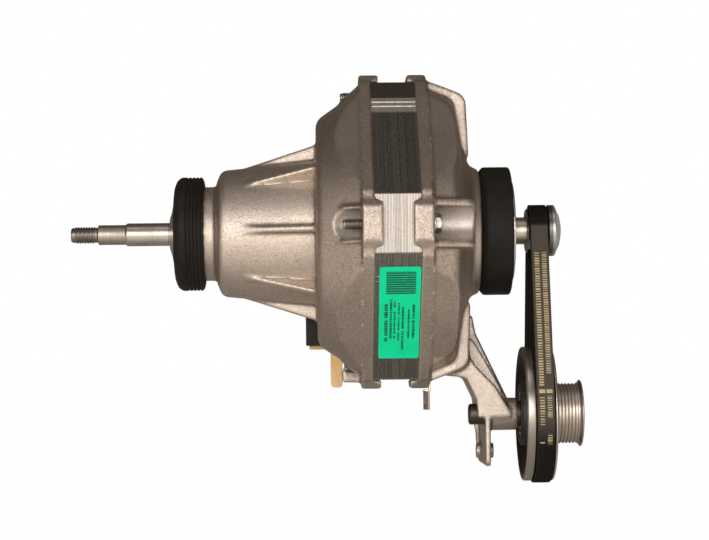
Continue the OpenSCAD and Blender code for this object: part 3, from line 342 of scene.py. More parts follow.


# %% [markdown]
# The tone is then laid on in order: bare metal with its stain and grain, the zones, painted
# shade in the creases, rubbed edges, and last the specks with their painted glints. The
# Geometry node's Pointiness tells edges from creases, as it's high on the one and low on the
# other. The belt-end dome is smoother, so dark grain, specks and glints are weaker there.


# %% Cast aluminium
def cast_aluminium():
    skin = Finish("cast_aluminium")
    stain = skin.noise(26, 3, 0.55).ramp(0.35, 0.68)
    grain = skin.noise(0.6, 2, 0.7)
    sand = skin.noise(1.3, 3, 0.8)
    pits = skin.cells(1.7).ramp(0.02, 0.22)
    # Specks: bright cells are knocks, and the bright fine noise is painted glints of light.
    specks_and_glints = (skin.cells(2.2) < 0.075) + skin.noise(0.45, 1, 0.5).ramp(0.57, 0.7)
    shade = skin.noise(0.7, 1, 0.5).ramp(0.48, 0.36)
    x, y, z = skin.axes()
    smooth = x > mm(STAINED_TO)
    bend = skin.node("ShaderNodeNewGeometry", output="Pointiness")
    # Low Pointiness marks creases, and the tone is darkened there as painted shade.
    crease_shade = bend.ramp(0.497, 0.45)
    worn = bend.ramp(0.51, 0.56) * sand.ramp(0.3, 0.55, 0.35, 1)
    tone = skin.mix(stain * 0.3 + sand.ramp(0.35, 0.68) * 0.26 + grain.ramp(0.35, 0.65) * 0.4,
                    CAST_LIGHT, CAST_DARK)
    tone = skin.mix(lighter_zone(x, y, z) * 0.38, tone, CAST_LIGHTER)
    # A greyer tone painted on the pocket floors offsets the warm light that bounces inside them.
    tone = skin.mix(pocket_zone(x, y, z) * 0.6, tone, CAST_POCKET_PAINTED_GREY)
    tone = skin.mix(crease_shade * 0.6, tone, CAST_GRAIN_AND_CREASE_SHADE)
    tone = skin.mix(worn * 0.8, tone, CAST_EDGE)
    tone = skin.mix(shade * (1 - smooth * 0.6) * 0.35, tone, CAST_GRAIN_AND_CREASE_SHADE)
    tone = skin.mix(specks_and_glints * (1 - smooth * 0.65) * 0.5 + rim_flash(skin, x), tone, CAST_EDGE)
    return skin.set({
        "Base Color": tone, "Metallic": 1.0,
        "Roughness": sand.ramp(0.3, 0.72, *CAST_ROUGH),
        "Normal": skin.bump(grain * 0.45 + sand * 0.35 + pits * 0.2, 0.3, 0.8)})


# %% [markdown]
# ### Rolled and turned steel
# The shaft, the pulleys and the bearing rings are turned or ground: what marks them is a fine
# line round the axis at every step of the tool. Noise that is read by distance along the axis
# and by radius alone is the same all the way round, so it draws exactly those lines. What
# turns on the jockey wheel's axle gives that axle's height instead of the motor's.


# %% Turned steel
def turned(name, light, dark, roughness=(0.22, 0.4), axis_height=0.0, line=0.35):
    """Steel with fine lines, line millimetres apart, about an axis at axis_height."""
    steel = Finish(name)
    x, y, z = steel.axes()
    height = z - mm(axis_height)
    radius = (y * y + height * height).power(0.5)
    lines = steel.noise(line, 2, 0.7, steel.joined(x, radius, 0.0))
    smear = steel.noise(7, 3, 0.6)
    tone = steel.mix(lines.ramp(0.3, 0.7) * 0.45 + smear.ramp(0.4, 0.7) * 0.35, light, dark)
    return steel.set({
        "Base Color": tone, "Metallic": 1.0,
        "Roughness": smear.ramp(0.3, 0.7, *roughness),
        "Normal": steel.bump(lines, 0.008, 0.5)})


# %% [markdown]
# The shaft is bright where it's thick, its long step on the left is matt, and the thread on
# the end is dull and dark. Two masks along the axis part the three.

# %% Shaft steel
STEEL_LIGHT = (0.68, 0.6, 0.515)
STEEL_DARK = (0.33, 0.28, 0.235)
STEEL_MATT = (0.3, 0.245, 0.2)
STEEL_THREAD_DARK = (0.12, 0.095, 0.075)
STEP_END = -176.3
FAN_THREAD_DULL = -189.3


def shaft_steel():
    steel = Finish("shaft_steel")
    x, y, z = steel.axes()
    radius = (y * y + z * z).power(0.5)
    lines = steel.noise(0.5, 2, 0.7, steel.joined(x, radius, 0.0))
    smear = steel.noise(8, 3, 0.6)
    matt = x < mm(STEP_END)
    tone = steel.mix(lines.ramp(0.3, 0.7) * 0.5 + smear.ramp(0.4, 0.7) * 0.3, STEEL_LIGHT,
                     STEEL_DARK)
    tone = steel.mix(matt * 0.35, tone, STEEL_MATT)
    tone = steel.mix((x < mm(FAN_THREAD_DULL)) * 0.5, tone, STEEL_THREAD_DARK)
    return steel.set({
        "Base Color": tone, "Metallic": 1.0,
        "Roughness": matt * 0.12 + smear.ramp(0.3, 0.7, 0.3, 0.4),
        "Normal": steel.bump(lines, 0.005, 0.4)})


# %% [markdown]
# ### Plated and stamped metal
# Zinc and tin form soft clouds as they set, so the tone and the gloss of a plated piece change
# together, and fine scratches cross them. The bolts' threads are darker.


# %% Plated metal
def plated(name, light, dark, roughness=(0.25, 0.42), dull_end=None):
    """Plated metal; what lies left of dull_end, such as a thread, is darker."""
    skin = Finish(name)
    cloud = skin.noise(3.5, 4, 0.6)
    scratch = skin.noise(0.5, 2, 0.5)
    tone = skin.mix(cloud.ramp(0.35, 0.7), light, dark)
    if dull_end is not None:
        dull = skin.axes()[0] < mm(dull_end)
        tone = skin.mix(dull * 0.6, tone, tuple(value * 0.25 for value in dark))
    return skin.set({
        "Base Color": tone, "Metallic": 1.0,
        "Roughness": cloud.ramp(0.3, 0.7, *roughness),
        "Normal": skin.bump(scratch, 0.012, 0.6)})


# %% [markdown]
# ### Laminations
# The stack is hundreds of punched sheets; from outside only their edges show, as fine lines
# across the motor axis, each sheet a little brighter or darker than the next. Counting whole
# sheets along the axis gives each its own random tone. On the square's four sides the lines
# waver and are dark; on the cut corners, which were ground, they run straight and shine. On the
# upper front side the top end, between the ears, is darkened as a painted shadow that also
# hides its lines, and a pale band lies round its cleats.

# %% Laminations
SHEET_PITCH = 0.7
SHEET_WAVER = 1.7
CORNER_FLAT = 70.1
CLEAT_BAND = (18.2, 28.6)
GROUND_EDGES = ((0.58, 0.52, 0.455), (0.34, 0.3, 0.26))
ROLLED_EDGES = ((0.105, 0.097, 0.086), (0.42, 0.39, 0.345))
TOP_END_PAINTED_SHADOW = (0.165, 0.14, 0.12)
CLEAT_PALE_BAND = (0.96, 0.88, 0.77)
BETWEEN_SHEETS = (0.05, 0.045, 0.04)


def lamination_steel():
    steel = Finish("lamination_steel")
    x, y, z = steel.axes()
    flat = (y.size() > mm(CORNER_FLAT)) + (z.size() > mm(CORNER_FLAT))
    waver = steel.noise(2.4, 2, 0.55) - 0.5
    count = (x + waver * (1 - flat) * mm(SHEET_WAVER)) * (1 / mm(SHEET_PITCH))
    sheet = steel.dice(steel.joined(count.whole(), 0.0, 0.0))
    groove = (count.fraction() - 0.5).size().ramp(0.34, 0.5)
    burr = steel.noise(1.1, 3, 0.7, steel.joined(x * 4, y, z))
    tick = steel.noise(0.6, 2, 0.8, steel.joined(x * 3, y * 0.5, z * 0.5))
    along = (y + z) * (PER_METRE / math.sqrt(2))
    start, end = CLEAT_BAND
    upper = (z > 0) * (y < 0)
    pale_band = along.ramp(start - 1.2, start + 0.8) * (along < end) * upper
    # The top end of the upper front side, between the ears, gets a painted shadow.
    plain = (along > end) * upper
    ground = steel.mix(sheet * 0.7 + burr.ramp(0.35, 0.7) * 0.3, *GROUND_EDGES)
    rolled = steel.mix(sheet * 0.4 + tick.ramp(0.4, 0.68) * 0.6, *ROLLED_EDGES)
    tone = steel.mix(flat, rolled, ground)
    tone = steel.mix(plain * 0.85, tone, TOP_END_PAINTED_SHADOW)
    tone = steel.mix(pale_band * 0.85, tone, CLEAT_PALE_BAND)
    # In the painted shadow the lines between sheets are faint.
    tone = steel.mix(groove * (0.7 - plain * 0.5), tone, BETWEEN_SHEETS)
    return steel.set({
        "Base Color": tone, "Metallic": 1.0,
        "Roughness": burr.ramp(0.3, 0.7, 0.38, 0.5),
        "Normal": steel.bump((1 - groove) * 0.7 + sheet * 0.3, 0.08, 0.8)})


# %% [markdown]
# ### Rubber and plastic
# Rubber is nearly black and dull, with faint dust. The plastics are smoother. Each still
# needs a little change of tone and roughness, or it looks like a hole in the picture. The
# amber connector is clear plastic: light runs about inside it and comes out again, and a
# little emission of its own colour stands in for that.

# %% Rubber and plastic
DUST = (0.07, 0.06, 0.048)


def dull_black(name, tone, grain=1.4, roughness=(0.42, 0.6), shine=0.14):
    """Nearly black, slightly warm, with clouds of a lighter tone and specks of dust."""
    skin = Finish(name)
    cloud = skin.noise(grain * 9, 4, 0.65)
    fine = skin.noise(grain * 0.4, 2, 0.6)
    dust = skin.noise(grain * 3, 5, 0.75).ramp(0.56, 0.75)
    shade = skin.mix(cloud.ramp(0.3, 0.75), (tone, tone * 0.8, tone * 0.62),
                     (tone * 1.7, tone * 1.4, tone * 1.1))
    shade = skin.mix(dust * 0.3, shade, DUST)
    return skin.set({
        "Base Color": shade, "Roughness": cloud.ramp(0.3, 0.7, *roughness),
        "Specular IOR Level": shine, "Normal": skin.bump(fine, 0.05, 0.5)})


def moulded(name, light, dark, roughness=(0.3, 0.45), glow=0.0):
    """Smooth plastic; a clear one gets a little glow."""
    skin = Finish(name)
    cloud = skin.noise(8, 3, 0.6)
    fine = skin.noise(0.5, 2, 0.6)
    tone = skin.mix(cloud.ramp(0.3, 0.75), light, dark)
    return skin.set({
        "Base Color": tone, "Roughness": cloud.ramp(0.3, 0.7, *roughness),
        "Emission Color": tone, "Emission Strength": glow,
        "Normal": skin.bump(fine, 0.02, 0.5)})


# %% [markdown]
# ### Windings and lacing
# The coils inside are enamelled wire, tied with cord. A sine wave along one axis times a sine
# wave along another is a grid of round humps: strands of wire, or the weave of the cord.

# %% Wire and cord
WIRE_LIGHT = (0.62, 0.24, 0.07)
WIRE_DARK = (0.35, 0.11, 0.035)
WIRE_PITCH = 0.9
CORD_PITCH = 0.5


def enamelled_copper():
    wire = Finish("enamelled_copper")
    x, y, z = wire.axes()
    radius = (y * y + z * z).power(0.5)
    per_wire = math.tau / mm(WIRE_PITCH)
    strands = (radius * per_wire).wave() * (x * per_wire).wave()
    cloud = wire.noise(5, 3, 0.6)
    return wire.set({
        "Base Color": wire.mix(cloud.ramp(0.3, 0.7), WIRE_LIGHT, WIRE_DARK),
        "Metallic": 0.7, "Roughness": cloud.ramp(0.3, 0.7, 0.28, 0.42), "Coat Weight": 0.5,
        "Normal": wire.bump(strands, 0.2, 0.7)})


def woven(name, light, dark):
    cloth = Finish(name)
    x, y, z = cloth.axes()
    per_thread = math.tau / mm(CORD_PITCH)
    weave = (x * per_thread).wave() * (y * per_thread).wave() * (z * per_thread).wave()
    return cloth.set({
        "Base Color": cloth.mix(weave.ramp(-0.6, 0.6), light, dark), "Roughness": 0.85,
        "Normal": cloth.bump(weave, 0.06, 0.7)})


# %% [markdown]
# ### The jockey wheel's iron
# The wheel is a dark iron casting with only its rim machined, so one finish has both: a mask
# by radius from the wheel's axis turns the dark skin into bright turned metal near the rim.
# The flange on the motor's side, left of the belt, is duller than the other.

# %% Wheel iron
wheel_low, wheel_high = span("jockey_wheel")
WHEEL_Z = (wheel_low.z + wheel_high.z) / 2
RIM_R = (wheel_high.z - wheel_low.z) / 2
belt_low, belt_high = span("drive_belt")
BELT_PLANE = (belt_low.x + belt_high.x) / 2
IRON_SKIN = ((0.075, 0.07, 0.063), (0.035, 0.033, 0.03))
IRON_TURNED = ((0.8, 0.72, 0.62), (0.2, 0.175, 0.145))
print("wheel axis at z", round(WHEEL_Z, 2), "belt plane at x", round(BELT_PLANE, 2))


def wheel_iron():
    iron = Finish("cast_iron_wheel")
    x, y, z = iron.axes()
    height = z - mm(WHEEL_Z)
    radius = (y * y + height * height).power(0.5)
    rim = radius.ramp(mm(RIM_R - 1.1), mm(RIM_R - 0.7))
    lines = iron.noise(0.4, 2, 0.7, iron.joined(x, radius, 0.0))
    grain = iron.noise(1.1, 3, 0.7)
    dark = iron.mix(grain.ramp(0.3, 0.7), *IRON_SKIN)
    inner = x < mm(BELT_PLANE)
    bright = iron.mix(lines.ramp(0.3, 0.7) * 0.35 + inner * 0.38, *IRON_TURNED)
    return iron.set({
        "Base Color": iron.mix(rim, dark, bright), "Metallic": rim.ramp(0, 1, 0.55, 1),
        "Roughness": rim.ramp(0, 1, 0.5, 0.33),
        "Normal": iron.bump(grain * (1 - rim) + lines * rim * 0.3, 0.07, 0.8)})


# %% [markdown]
# ### Rating label
# The label is green paper with black print: a ruled block and seven columns of dashes, laid
# out along it. A picture of the print would need an image file, but rows and columns can be
# counted off in the shader. The label lies on a side of the stack that leans at 45 degrees, so
# the difference of two axes gives the distance down it. A little of its own colour is added as
# emission, a painted glow that makes it brighter than a plain paint could be.

# %% Label
LABEL_LEFT = span("rating_label")[0].x
LABEL_TOP = 31.9
LABEL_GREEN = (0.003, 0.92, 0.42)
LABEL_GREEN_DARK = (0.003, 0.82, 0.37)
LABEL_INK = (0.012, 0.03, 0.022)
# Emission strength of the label's painted glow.
LABEL_PAINTED_GLOW = 0.17
RULE_LINES = 0.72
DASH_LINES = 0.9
BLOCK = (3.1, 16.6, 2.6, 16.6)
COLUMNS = ((3.3, 0.75, 22.8, 46.8), (5.5, 0.55, 19.0, 45.0), (7.2, 0.42, 21.0, 45.0),
           (9.1, 0.42, 22.2, 46.2), (11.0, 0.55, 24.7, 52.5), (13.7, 0.45, 26.0, 45.0),
           (15.9, 0.6, 22.8, 45.0))


def printed_label():
    paper = Finish("printed_label")
    x, y, z = paper.axes()
    across = x * PER_METRE - LABEL_LEFT
    down = LABEL_TOP - (z - y) * (PER_METRE / math.sqrt(2))
    left, right, top, bottom = BLOCK
    rule = (down * RULE_LINES).fraction() > 0.25
    ink = (across > left) * (across < right) * (down > top) * (down < bottom) * rule
    for middle, half, start, end in COLUMNS:
        count = down * DASH_LINES
        chance = paper.dice(paper.joined(count.whole(), middle, 0.0))
        dash = (count.fraction() < chance * 0.4 + 0.55) * (chance > 0.08)
        ink = ink + ((across - middle).size() < half) * (down > start) * (down < end) * dash
    cloud = paper.noise(9, 3, 0.6)
    rub = paper.noise(1.1, 3, 0.7).ramp(0.3, 0.36)
    fibre = paper.noise(0.4, 2, 0.5)
    tone = paper.mix(cloud.ramp(0.3, 0.75), LABEL_GREEN, LABEL_GREEN_DARK)
    tone = paper.mix(ink * rub * 0.9, tone, LABEL_INK)
    return paper.set({
        "Base Color": tone, "Emission Color": tone, "Emission Strength": LABEL_PAINTED_GLOW,
        "Roughness": cloud.ramp(0.3, 0.7, 0.45, 0.6), "Specular IOR Level": 0.3,
        "Normal": paper.bump(fibre, 0.01, 0.5)})


# %% [markdown]
# ### Handing the finishes out
# The record names a material slot for each solid, so a dictionary from slot to finish dresses
# all of them at once, the hidden ones inside the motor too.

# %% Finish of every CAD node
THREAD_END = -61.5

finishes = {
    "cast_aluminium": cast_aluminium(),
    "lamination_steel": lamination_steel(),
    "slot_paper": moulded("slot_paper", (0.72, 0.62, 0.42), (0.6, 0.5, 0.32), (0.6, 0.75)),
    "enamelled_copper": enamelled_copper(),
    "lacing_cord": woven("lacing_cord", (0.8, 0.77, 0.68), (0.6, 0.56, 0.47)),
    "black_plastic": dull_black("black_plastic", 0.022, 1.0, (0.4, 0.55), 0.2),
    "amber_plastic": moulded("amber_plastic", (1.0, 0.68, 0.32), (0.95, 0.54, 0.2), glow=0.16),
    "black_rubber": dull_black("black_rubber", 0.013, 1.4, (0.5, 0.65), 0.2),
    "belt_rubber": dull_black("belt_rubber", 0.02, 0.8, (0.5, 0.68)),
    "zinc_sheet": plated("zinc_sheet", (0.9, 0.87, 0.82), (0.72, 0.69, 0.65)),
    "zinc_bolt": plated("zinc_bolt", (0.66, 0.63, 0.53), (0.4, 0.375, 0.31), (0.32, 0.44),
                        THREAD_END),
    "green_label": printed_label(),
    "tinned_brass": plated("tinned_brass", (0.82, 0.73, 0.5), (0.66, 0.56, 0.34)),
    "bearing_steel": turned("bearing_steel", (0.72, 0.72, 0.73), (0.55, 0.55, 0.56), (0.15, 0.3)),
    "ball_steel": plated("ball_steel", (0.85, 0.85, 0.86), (0.75, 0.75, 0.76), (0.06, 0.14)),
    "cage_brass": plated("cage_brass", (0.75, 0.55, 0.24), (0.6, 0.4, 0.15)),
    "spring_steel": plated("spring_steel", (0.32, 0.32, 0.33), (0.2, 0.2, 0.21)),
    "turned_steel": turned("turned_steel", (0.46, 0.43, 0.38), (0.25, 0.23, 0.2), (0.2, 0.3)),
    "pulley_steel": turned("pulley_steel", (0.88, 0.78, 0.66), (0.48, 0.41, 0.34), (0.22, 0.32)),
    "cast_iron_wheel": wheel_iron(),
    "cage_aluminium": plated("cage_aluminium", (0.78, 0.77, 0.75), (0.6, 0.59, 0.57), (0.4, 0.55)),
}
for part in frame["record"]["subparts"]:
    mesh = frame["nodes"][part["node"]].data
    mesh.materials.clear()
    mesh.materials.append(finishes[part["material_slot"]].material)
print("finishes:", len(finishes))

# %% [markdown]
# Three small pieces share a slot with others but look different in the photograph: the small
# pulley is darker and glossier, the axle is nearly black, and the earth tab is dull brass.

# %% Finishes of single pieces
own_finishes = {
    "motor_pulley": turned("small_pulley", (0.4, 0.385, 0.35), (0.2, 0.19, 0.17), (0.16, 0.26)),
    "jockey_axle": turned("axle_steel", (0.14, 0.115, 0.09), (0.07, 0.057, 0.045), (0.35, 0.5),
                          WHEEL_Z),
    "earth_tab": plated("tab_brass", (0.84, 0.74, 0.6), (0.56, 0.48, 0.38)),
}
print("own finishes:", sorted(own_finishes))

# %% [markdown]
# ## Working on copies of the solids
# A CAD solid has razor edges, and light never catches a razor edge. The real pieces have edges
# that were cast round, tumbled or broken with a file. A node of the frame may not be changed,
# so its mesh is copied, the loose triangles of the copy are merged, and the work is done there.
# An operator acts on all that is selected, so each helper first selects its piece alone.


# %% Editing a piece
def alone(piece):
    """Make this piece the one that is selected and active."""
    bpy.ops.object.select_all(action="DESELECT")
    piece.select_set(True)
    bpy.context.view_layer.objects.active = piece
    return piece


def edit(piece, *steps):
    """Run mesh operators on the whole of a piece in edit mode."""
    alone(piece)
    bpy.ops.object.mode_set(mode="EDIT")
    for step in steps:
        bpy.ops.mesh.select_all(action="SELECT")
        step()
    bpy.ops.object.mode_set(mode="OBJECT")
    return piece


def modify(piece, kind, **settings):
    """Add a modifier and apply it."""
    alone(piece)
    modifier = piece.modifiers.new(kind.lower(), kind)
    for key, value in settings.items():
        setattr(modifier, key, value)
    bpy.ops.object.modifier_apply(modifier=modifier.name)
    return piece


# %% [markdown]
# A piece begins in one of two ways: drawn from points, or as a copy of a node whose triangles
# have to be merged before a bevel can find the real edges. Only corners in the same place are
# merged, so the distance is far smaller than any detail of the motor.

# %% New pieces and copies
MERGE_DISTANCE = 0.002


def new_piece(name, vertices, edges=(), faces=()):
    """A piece from points in millimetres, joined by edges or faces."""
    mesh = bpy.data.meshes.new(name)
    mesh.from_pydata([[mm(v) for v in vertex] for vertex in vertices], edges, faces)
    piece = bpy.data.objects.new(name, mesh)
    bpy.context.scene.collection.objects.link(piece)
    return alone(piece)


def merge():
    bpy.ops.mesh.remove_doubles(threshold=mm(MERGE_DISTANCE))


def outwards():
    bpy.ops.mesh.normals_make_consistent(inside=False)


def merged_copy(node, name):
    """A copy of a CAD node whose loose triangles are joined into one skin."""
    piece = bpy.data.objects.new(name, frame["nodes"][node].data.copy())
    bpy.context.scene.collection.objects.link(piece)
    return edit(piece, merge)


# %% [markdown]
# A finished piece takes over from its node. It rides on the same body, so that it turns with
# it, takes its finish from the same slot, and the node is hidden behind it.

# %% Taking over from a node
slots = {part["node"]: part["material_slot"] for part in frame["record"]["subparts"]}


def hand_over(piece, node, finish=None):
    """Give a finished piece its material and its body, and hide the node that it stands for."""
    piece.data.materials.clear()
    finish = finish or own_finishes.get(node, finishes[slots[node]])
    piece.data.materials.append(finish.material)
    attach(piece, body_of(frame["nodes"][node])[0])
    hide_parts(node)
    print(piece.name, "stands for", node, "with", len(piece.data.polygons), "faces")
    return piece


# %% [markdown]
# ## Die-cast end bells
# Die casting leaves no sharp edge: metal runs into the corners of the mould and every rib meets
# the wall in a small round. A bevel would need clean edges, and these bells have hundreds of
# crossing ones. A voxel remesh rebuilds the whole skin on a fine grid, a few rounds of
# smoothing melt the steps, and a decimate step brings the count down again.

# %% Cast skins
CAST_VOXEL = 0.8
CAST_SMOOTHINGS = 4
CAST_TRIANGLES = 190000


def cast_skin(node, name):
    piece = merged_copy(node, name)
    modify(piece, "REMESH", mode="VOXEL", voxel_size=mm(CAST_VOXEL))
    modify(piece, "SMOOTH", factor=0.5, iterations=CAST_SMOOTHINGS)
    share = CAST_TRIANGLES / (2 * len(piece.data.polygons))
    if share < 1:
        modify(piece, "DECIMATE", ratio=share)
    bpy.ops.object.shade_smooth()
    return hand_over(piece, node)


cast_skin("fan_end_bell", "fan_bell_casting")
cast_skin("belt_end_bell", "belt_bell_casting")

# %% [markdown]
# ## Edges that catch the light
# Sheet, moulded and turned pieces keep flat faces, so a remesh would spoil them. Here the flat
# faces are joined first and a bevel modifier with an angle limit breaks only the real edges,
# each by its own width: a stamped cap a tenth of a millimetre, a moulded block half.

# %% Eased copies
EDGE_ANGLE = math.radians(28)
FLAT_ANGLE = math.radians(0.6)


def flat_faces():
    bpy.ops.mesh.dissolve_limited(angle_limit=FLAT_ANGLE)


def eased_copy(node, name, width):
    piece = edit(merged_copy(node, name), flat_faces)
    modify(piece, "BEVEL", width=mm(width), segments=2, limit_method="ANGLE",
           angle_limit=EDGE_ANGLE, miter_outer="MITER_ARC")
    bpy.ops.object.shade_smooth_by_angle(angle=EDGE_ANGLE)
    return piece


EDGE_WIDTHS = {
    "fan_end_cap": 0.15, "belt_end_cap": 0.15, "terminal_block": 0.4, "connector_shell": 0.5,
    "connector_pins": 0.12, "earth_tab": 0.12, "motor_pulley": 0.12,
    "jockey_wheel": 0.25, "jockey_axle": 0.2, "axle_circlip": 0.1,
    "belt_end_ring": 0.3, "rating_label": 0.05,
}
for node, width in EDGE_WIDTHS.items():
    hand_over(eased_copy(node, "eased_" + node, width), node)

# %% [markdown]
# ## Turned pieces
# The shaft, the rings and the threads are round about the motor axis. The way to model them
# is that of a lathe: draw half of the outline as a chain of points, then spin it. The spin
# closes on itself, so its last row of points is merged with the first.

# %% A lathe
LATHE_STEPS = 128


def lathe(name, outline, steps=LATHE_STEPS):
    """Spin a closed outline of (along the axis, radius) points about the motor axis."""
    chain = [(i, (i + 1) % len(outline)) for i in range(len(outline))]
    piece = new_piece(name, [(x, 0, r) for x, r in outline], chain)
    edit(piece, lambda: bpy.ops.mesh.spin(steps=steps, angle=math.tau, center=(0, 0, 0),
                                          axis=(1, 0, 0)), merge, outwards)
    bpy.ops.object.shade_smooth_by_angle(angle=EDGE_ANGLE)
    return piece


def break_edges(piece, width, angle):
    """Bevel the edges that turn by more than the angle."""
    modify(piece, "BEVEL", width=mm(width), segments=2, limit_method="ANGLE", angle_limit=angle)


# %% [markdown]
# Where an outline has to be soft, each of its corners becomes a small arc before it's spun.


# %% Soft outlines
def rounded_corner(before, corner, after, radius, count=4):
    """Points of a small arc in place of a corner of an outline."""
    before, corner, after = Vector(before), Vector(corner), Vector(after)
    start = corner + (before - corner).normalized() * radius
    end = corner + (after - corner).normalized() * radius
    steps = [i / count for i in range(count + 1)]
    return [tuple(start * (1 - t) ** 2 + corner * 2 * t * (1 - t) + end * t ** 2) for t in steps]


def softened_outline(outline, radius):
    """The outline with every corner rounded, by less where its sides are short."""
    points = []
    for i, corner in enumerate(outline):
        before = outline[i - 1]
        after = outline[(i + 1) % len(outline)]
        shortest = min(math.dist(before, corner), math.dist(corner, after))
        points += rounded_corner(before, corner, after, min(radius, shortest * 0.45))
    return points


# %% [markdown]
# ### Fan-end rubber ring
# The ring is a moulded cradle mount: a round shoulder on the left, and on the right a band of
# ridges that grip the clamp. Its outline has every ridge and groove rounded, because rubber
# has no sharp corner.

# %% Fan-end ring
RIDGES = 4
ring_low, ring_high = span("fan_end_ring")
RING_R = (ring_high.z - ring_low.z) / 2
RING_BORE = 20.05
RING_ROUND = 0.9
RIDGE_START = ring_low.x + 5.9
RIDGE_PITCH = (ring_high.x - 1 - RIDGE_START) / RIDGES
ring_outline = [(ring_high.x, RING_BORE), (ring_low.x, RING_BORE), (ring_low.x, RING_R - 4.6),
                (ring_low.x + 1.2, RING_R - 1.6), (ring_low.x + 3.2, RING_R)]
for i in range(RIDGES):
    start = RIDGE_START + i * RIDGE_PITCH
    ring_outline += [(start, RING_R), (start + 0.45, RING_R - 0.6), (start + 0.9, RING_R - 0.05)]
ring_outline += [(ring_high.x - 1, RING_R), (ring_high.x, RING_R - 1.4)]
hand_over(lathe("fan_cradle_ring", softened_outline(ring_outline, RING_ROUND)), "fan_end_ring")

# %% [markdown]
# ### Threads
# A thread is one groove wound round a rod, so it's drawn as the real tool cuts it: the shape
# of one tooth goes once round the axis for each turn while it moves on by the pitch. The wound
# skin lies on a plain core, which closes it at both ends, and its first and last turn rise
# slowly from the root, as on a real thread.

# %% Winding a thread
TOOTH_DEPTH = 0.55
TOOTH_CREST = (0.4, 0.58)


def threaded_skin(name, start, end, radius, pitch, steps=40):
    """A helix of teeth about the motor axis, from start to end."""
    root = radius - pitch * TOOTH_DEPTH
    tooth = [(0, root)] + [(pitch * share, radius) for share in TOOTH_CREST]
    wide = len(tooth)
    turns = int((end - start) / pitch)
    rows = []
    for turn in range(turns * steps + 1):
        angle = math.tau * turn / steps
        ease = min(1, turn / steps, (turns * steps - turn) / steps)
        for x, r in tooth:
            r = root + (r - root) * ease
            rows.append((start + turn / steps * pitch + x, -r * math.sin(angle),
                         r * math.cos(angle)))
    faces = []
    total = len(rows)
    for row in range(turns * steps):
        a = row * wide
        for i in (0, 1):
            faces.append((a + i, a + i + 1, a + wide + i + 1, a + wide + i))
        after = a + steps * wide
        if after + wide < total:
            faces.append((a + wide - 1, after, after + wide, a + 2 * wide - 1))
    piece = new_piece(name, rows, (), faces)
    edit(piece, merge, outwards)
    bpy.ops.object.shade_smooth_by_angle(angle=EDGE_ANGLE)
    return piece


# %% [markdown]
# A real bolt is one piece of steel, but here its rod, thread, washer and head are made one by
# one, because each has its own way. The last step joins them into one piece, which then takes
# over from the node.

# %% Joining pieces
def joined_piece(name, pieces):
    """Make one piece of several."""
    alone(pieces[0])
    for piece in pieces:
        piece.select_set(True)
    bpy.ops.object.join()
    pieces[0].name = name
    return pieces[0]


# %% [markdown]
# ### Through bolts
# Four long bolts hold the bells against the stack. Each is a rod with a thread wound on its
# end, and the thread's core is a thinner rod inside the winding. All of it is made round the
# motor axis and moved out to its corner at the end, because the lathe turns only there.

# %% Rod and thread of a bolt
bolt_low, bolt_high = span("through_bolts")
BOLT_CIRCLE = 65
BOLT_R = 2.5
BOLT_CORE_R = 2.08
BOLT_TIP = bolt_low.x
BOLT_PITCH = 0.8
BOLT_STEPS = 32
TAB_SHEET = 0.8
HEAD_END = bolt_high.x - TAB_SHEET
HEAD_START = HEAD_END - 3.5
WASHER_SHEET = 0.9
WASHER_R = 4.7


def bolt_rod():
    """The plain rod, its thinner threaded end and the thread round that."""
    plain = lathe("bolt_core", [
        (HEAD_START + 0.3, 0), (THREAD_END, 0), (THREAD_END, BOLT_R), (HEAD_START + 0.3, BOLT_R)],
        BOLT_STEPS)
    core = lathe("bolt_end", [
        (BOLT_TIP, 0), (BOLT_TIP, BOLT_R - 0.7), (BOLT_TIP + 0.5, BOLT_CORE_R),
        (THREAD_END + 0.2, BOLT_CORE_R), (THREAD_END + 0.2, 0)], BOLT_STEPS)
    thread = threaded_skin("bolt_thread", BOLT_TIP + 0.3, THREAD_END + 0.5, BOLT_R, BOLT_PITCH, 24)
    return [plain, core, thread]


def bolt_washer():
    start, end = HEAD_START + 0.02, HEAD_START + WASHER_SHEET
    outline = [(start, 0.5), (start, WASHER_R), (end, WASHER_R), (end, 0.5)]
    return lathe("bolt_washer", softened_outline(outline, 0.25), 48)


# %% [markdown]
# The hex head starts as a six-sided cylinder that lies with one flat facing outwards.
# On a real head the six corners are turned off to a cone, which leaves a curved line on every
# flat. Cutting the cylinder with such a cone gives the same line.

# %% Hex head
HEAD_FLATS = 8.0
HEAD_CORNER = HEAD_FLATS / 2 / math.cos(math.pi / 6)
HEAD_LENGTH = HEAD_END - HEAD_START - 0.8
HEAD_CONE = 1.1


def bolt_head():
    bpy.ops.object.select_all(action="DESELECT")
    bpy.ops.mesh.primitive_cylinder_add(
        vertices=6, radius=mm(HEAD_CORNER), depth=mm(HEAD_LENGTH),
        location=(mm(HEAD_END - HEAD_LENGTH / 2), 0, 0), rotation=(0, math.pi / 2, 0))
    head = bpy.context.object
    bpy.ops.object.transform_apply(location=True, rotation=True, scale=True)
    cone = lathe("cutting_cone", [
        (HEAD_START - 3, 0), (HEAD_START - 3, HEAD_CORNER + 1),
        (HEAD_END - HEAD_CONE, HEAD_CORNER + 0.3),
        (HEAD_END + 0.02, HEAD_FLATS / 2 - 0.1), (HEAD_END + 0.02, 0)], 72)
    modify(head, "BOOLEAN", operation="INTERSECT", object=cone, solver="EXACT")
    bpy.data.objects.remove(cone)
    break_edges(head, 0.12, math.radians(40))
    bpy.ops.object.shade_smooth_by_angle(angle=EDGE_ANGLE)
    print("bolt head", [round(v * PER_METRE, 2) for v in head.dimensions])
    return head


# %% [markdown]
# A bolt is made at the top corner and turned about the motor axis to its own one. The lowest
# bolt stands a little further right, because its head sits on the sheet of the earth tab.

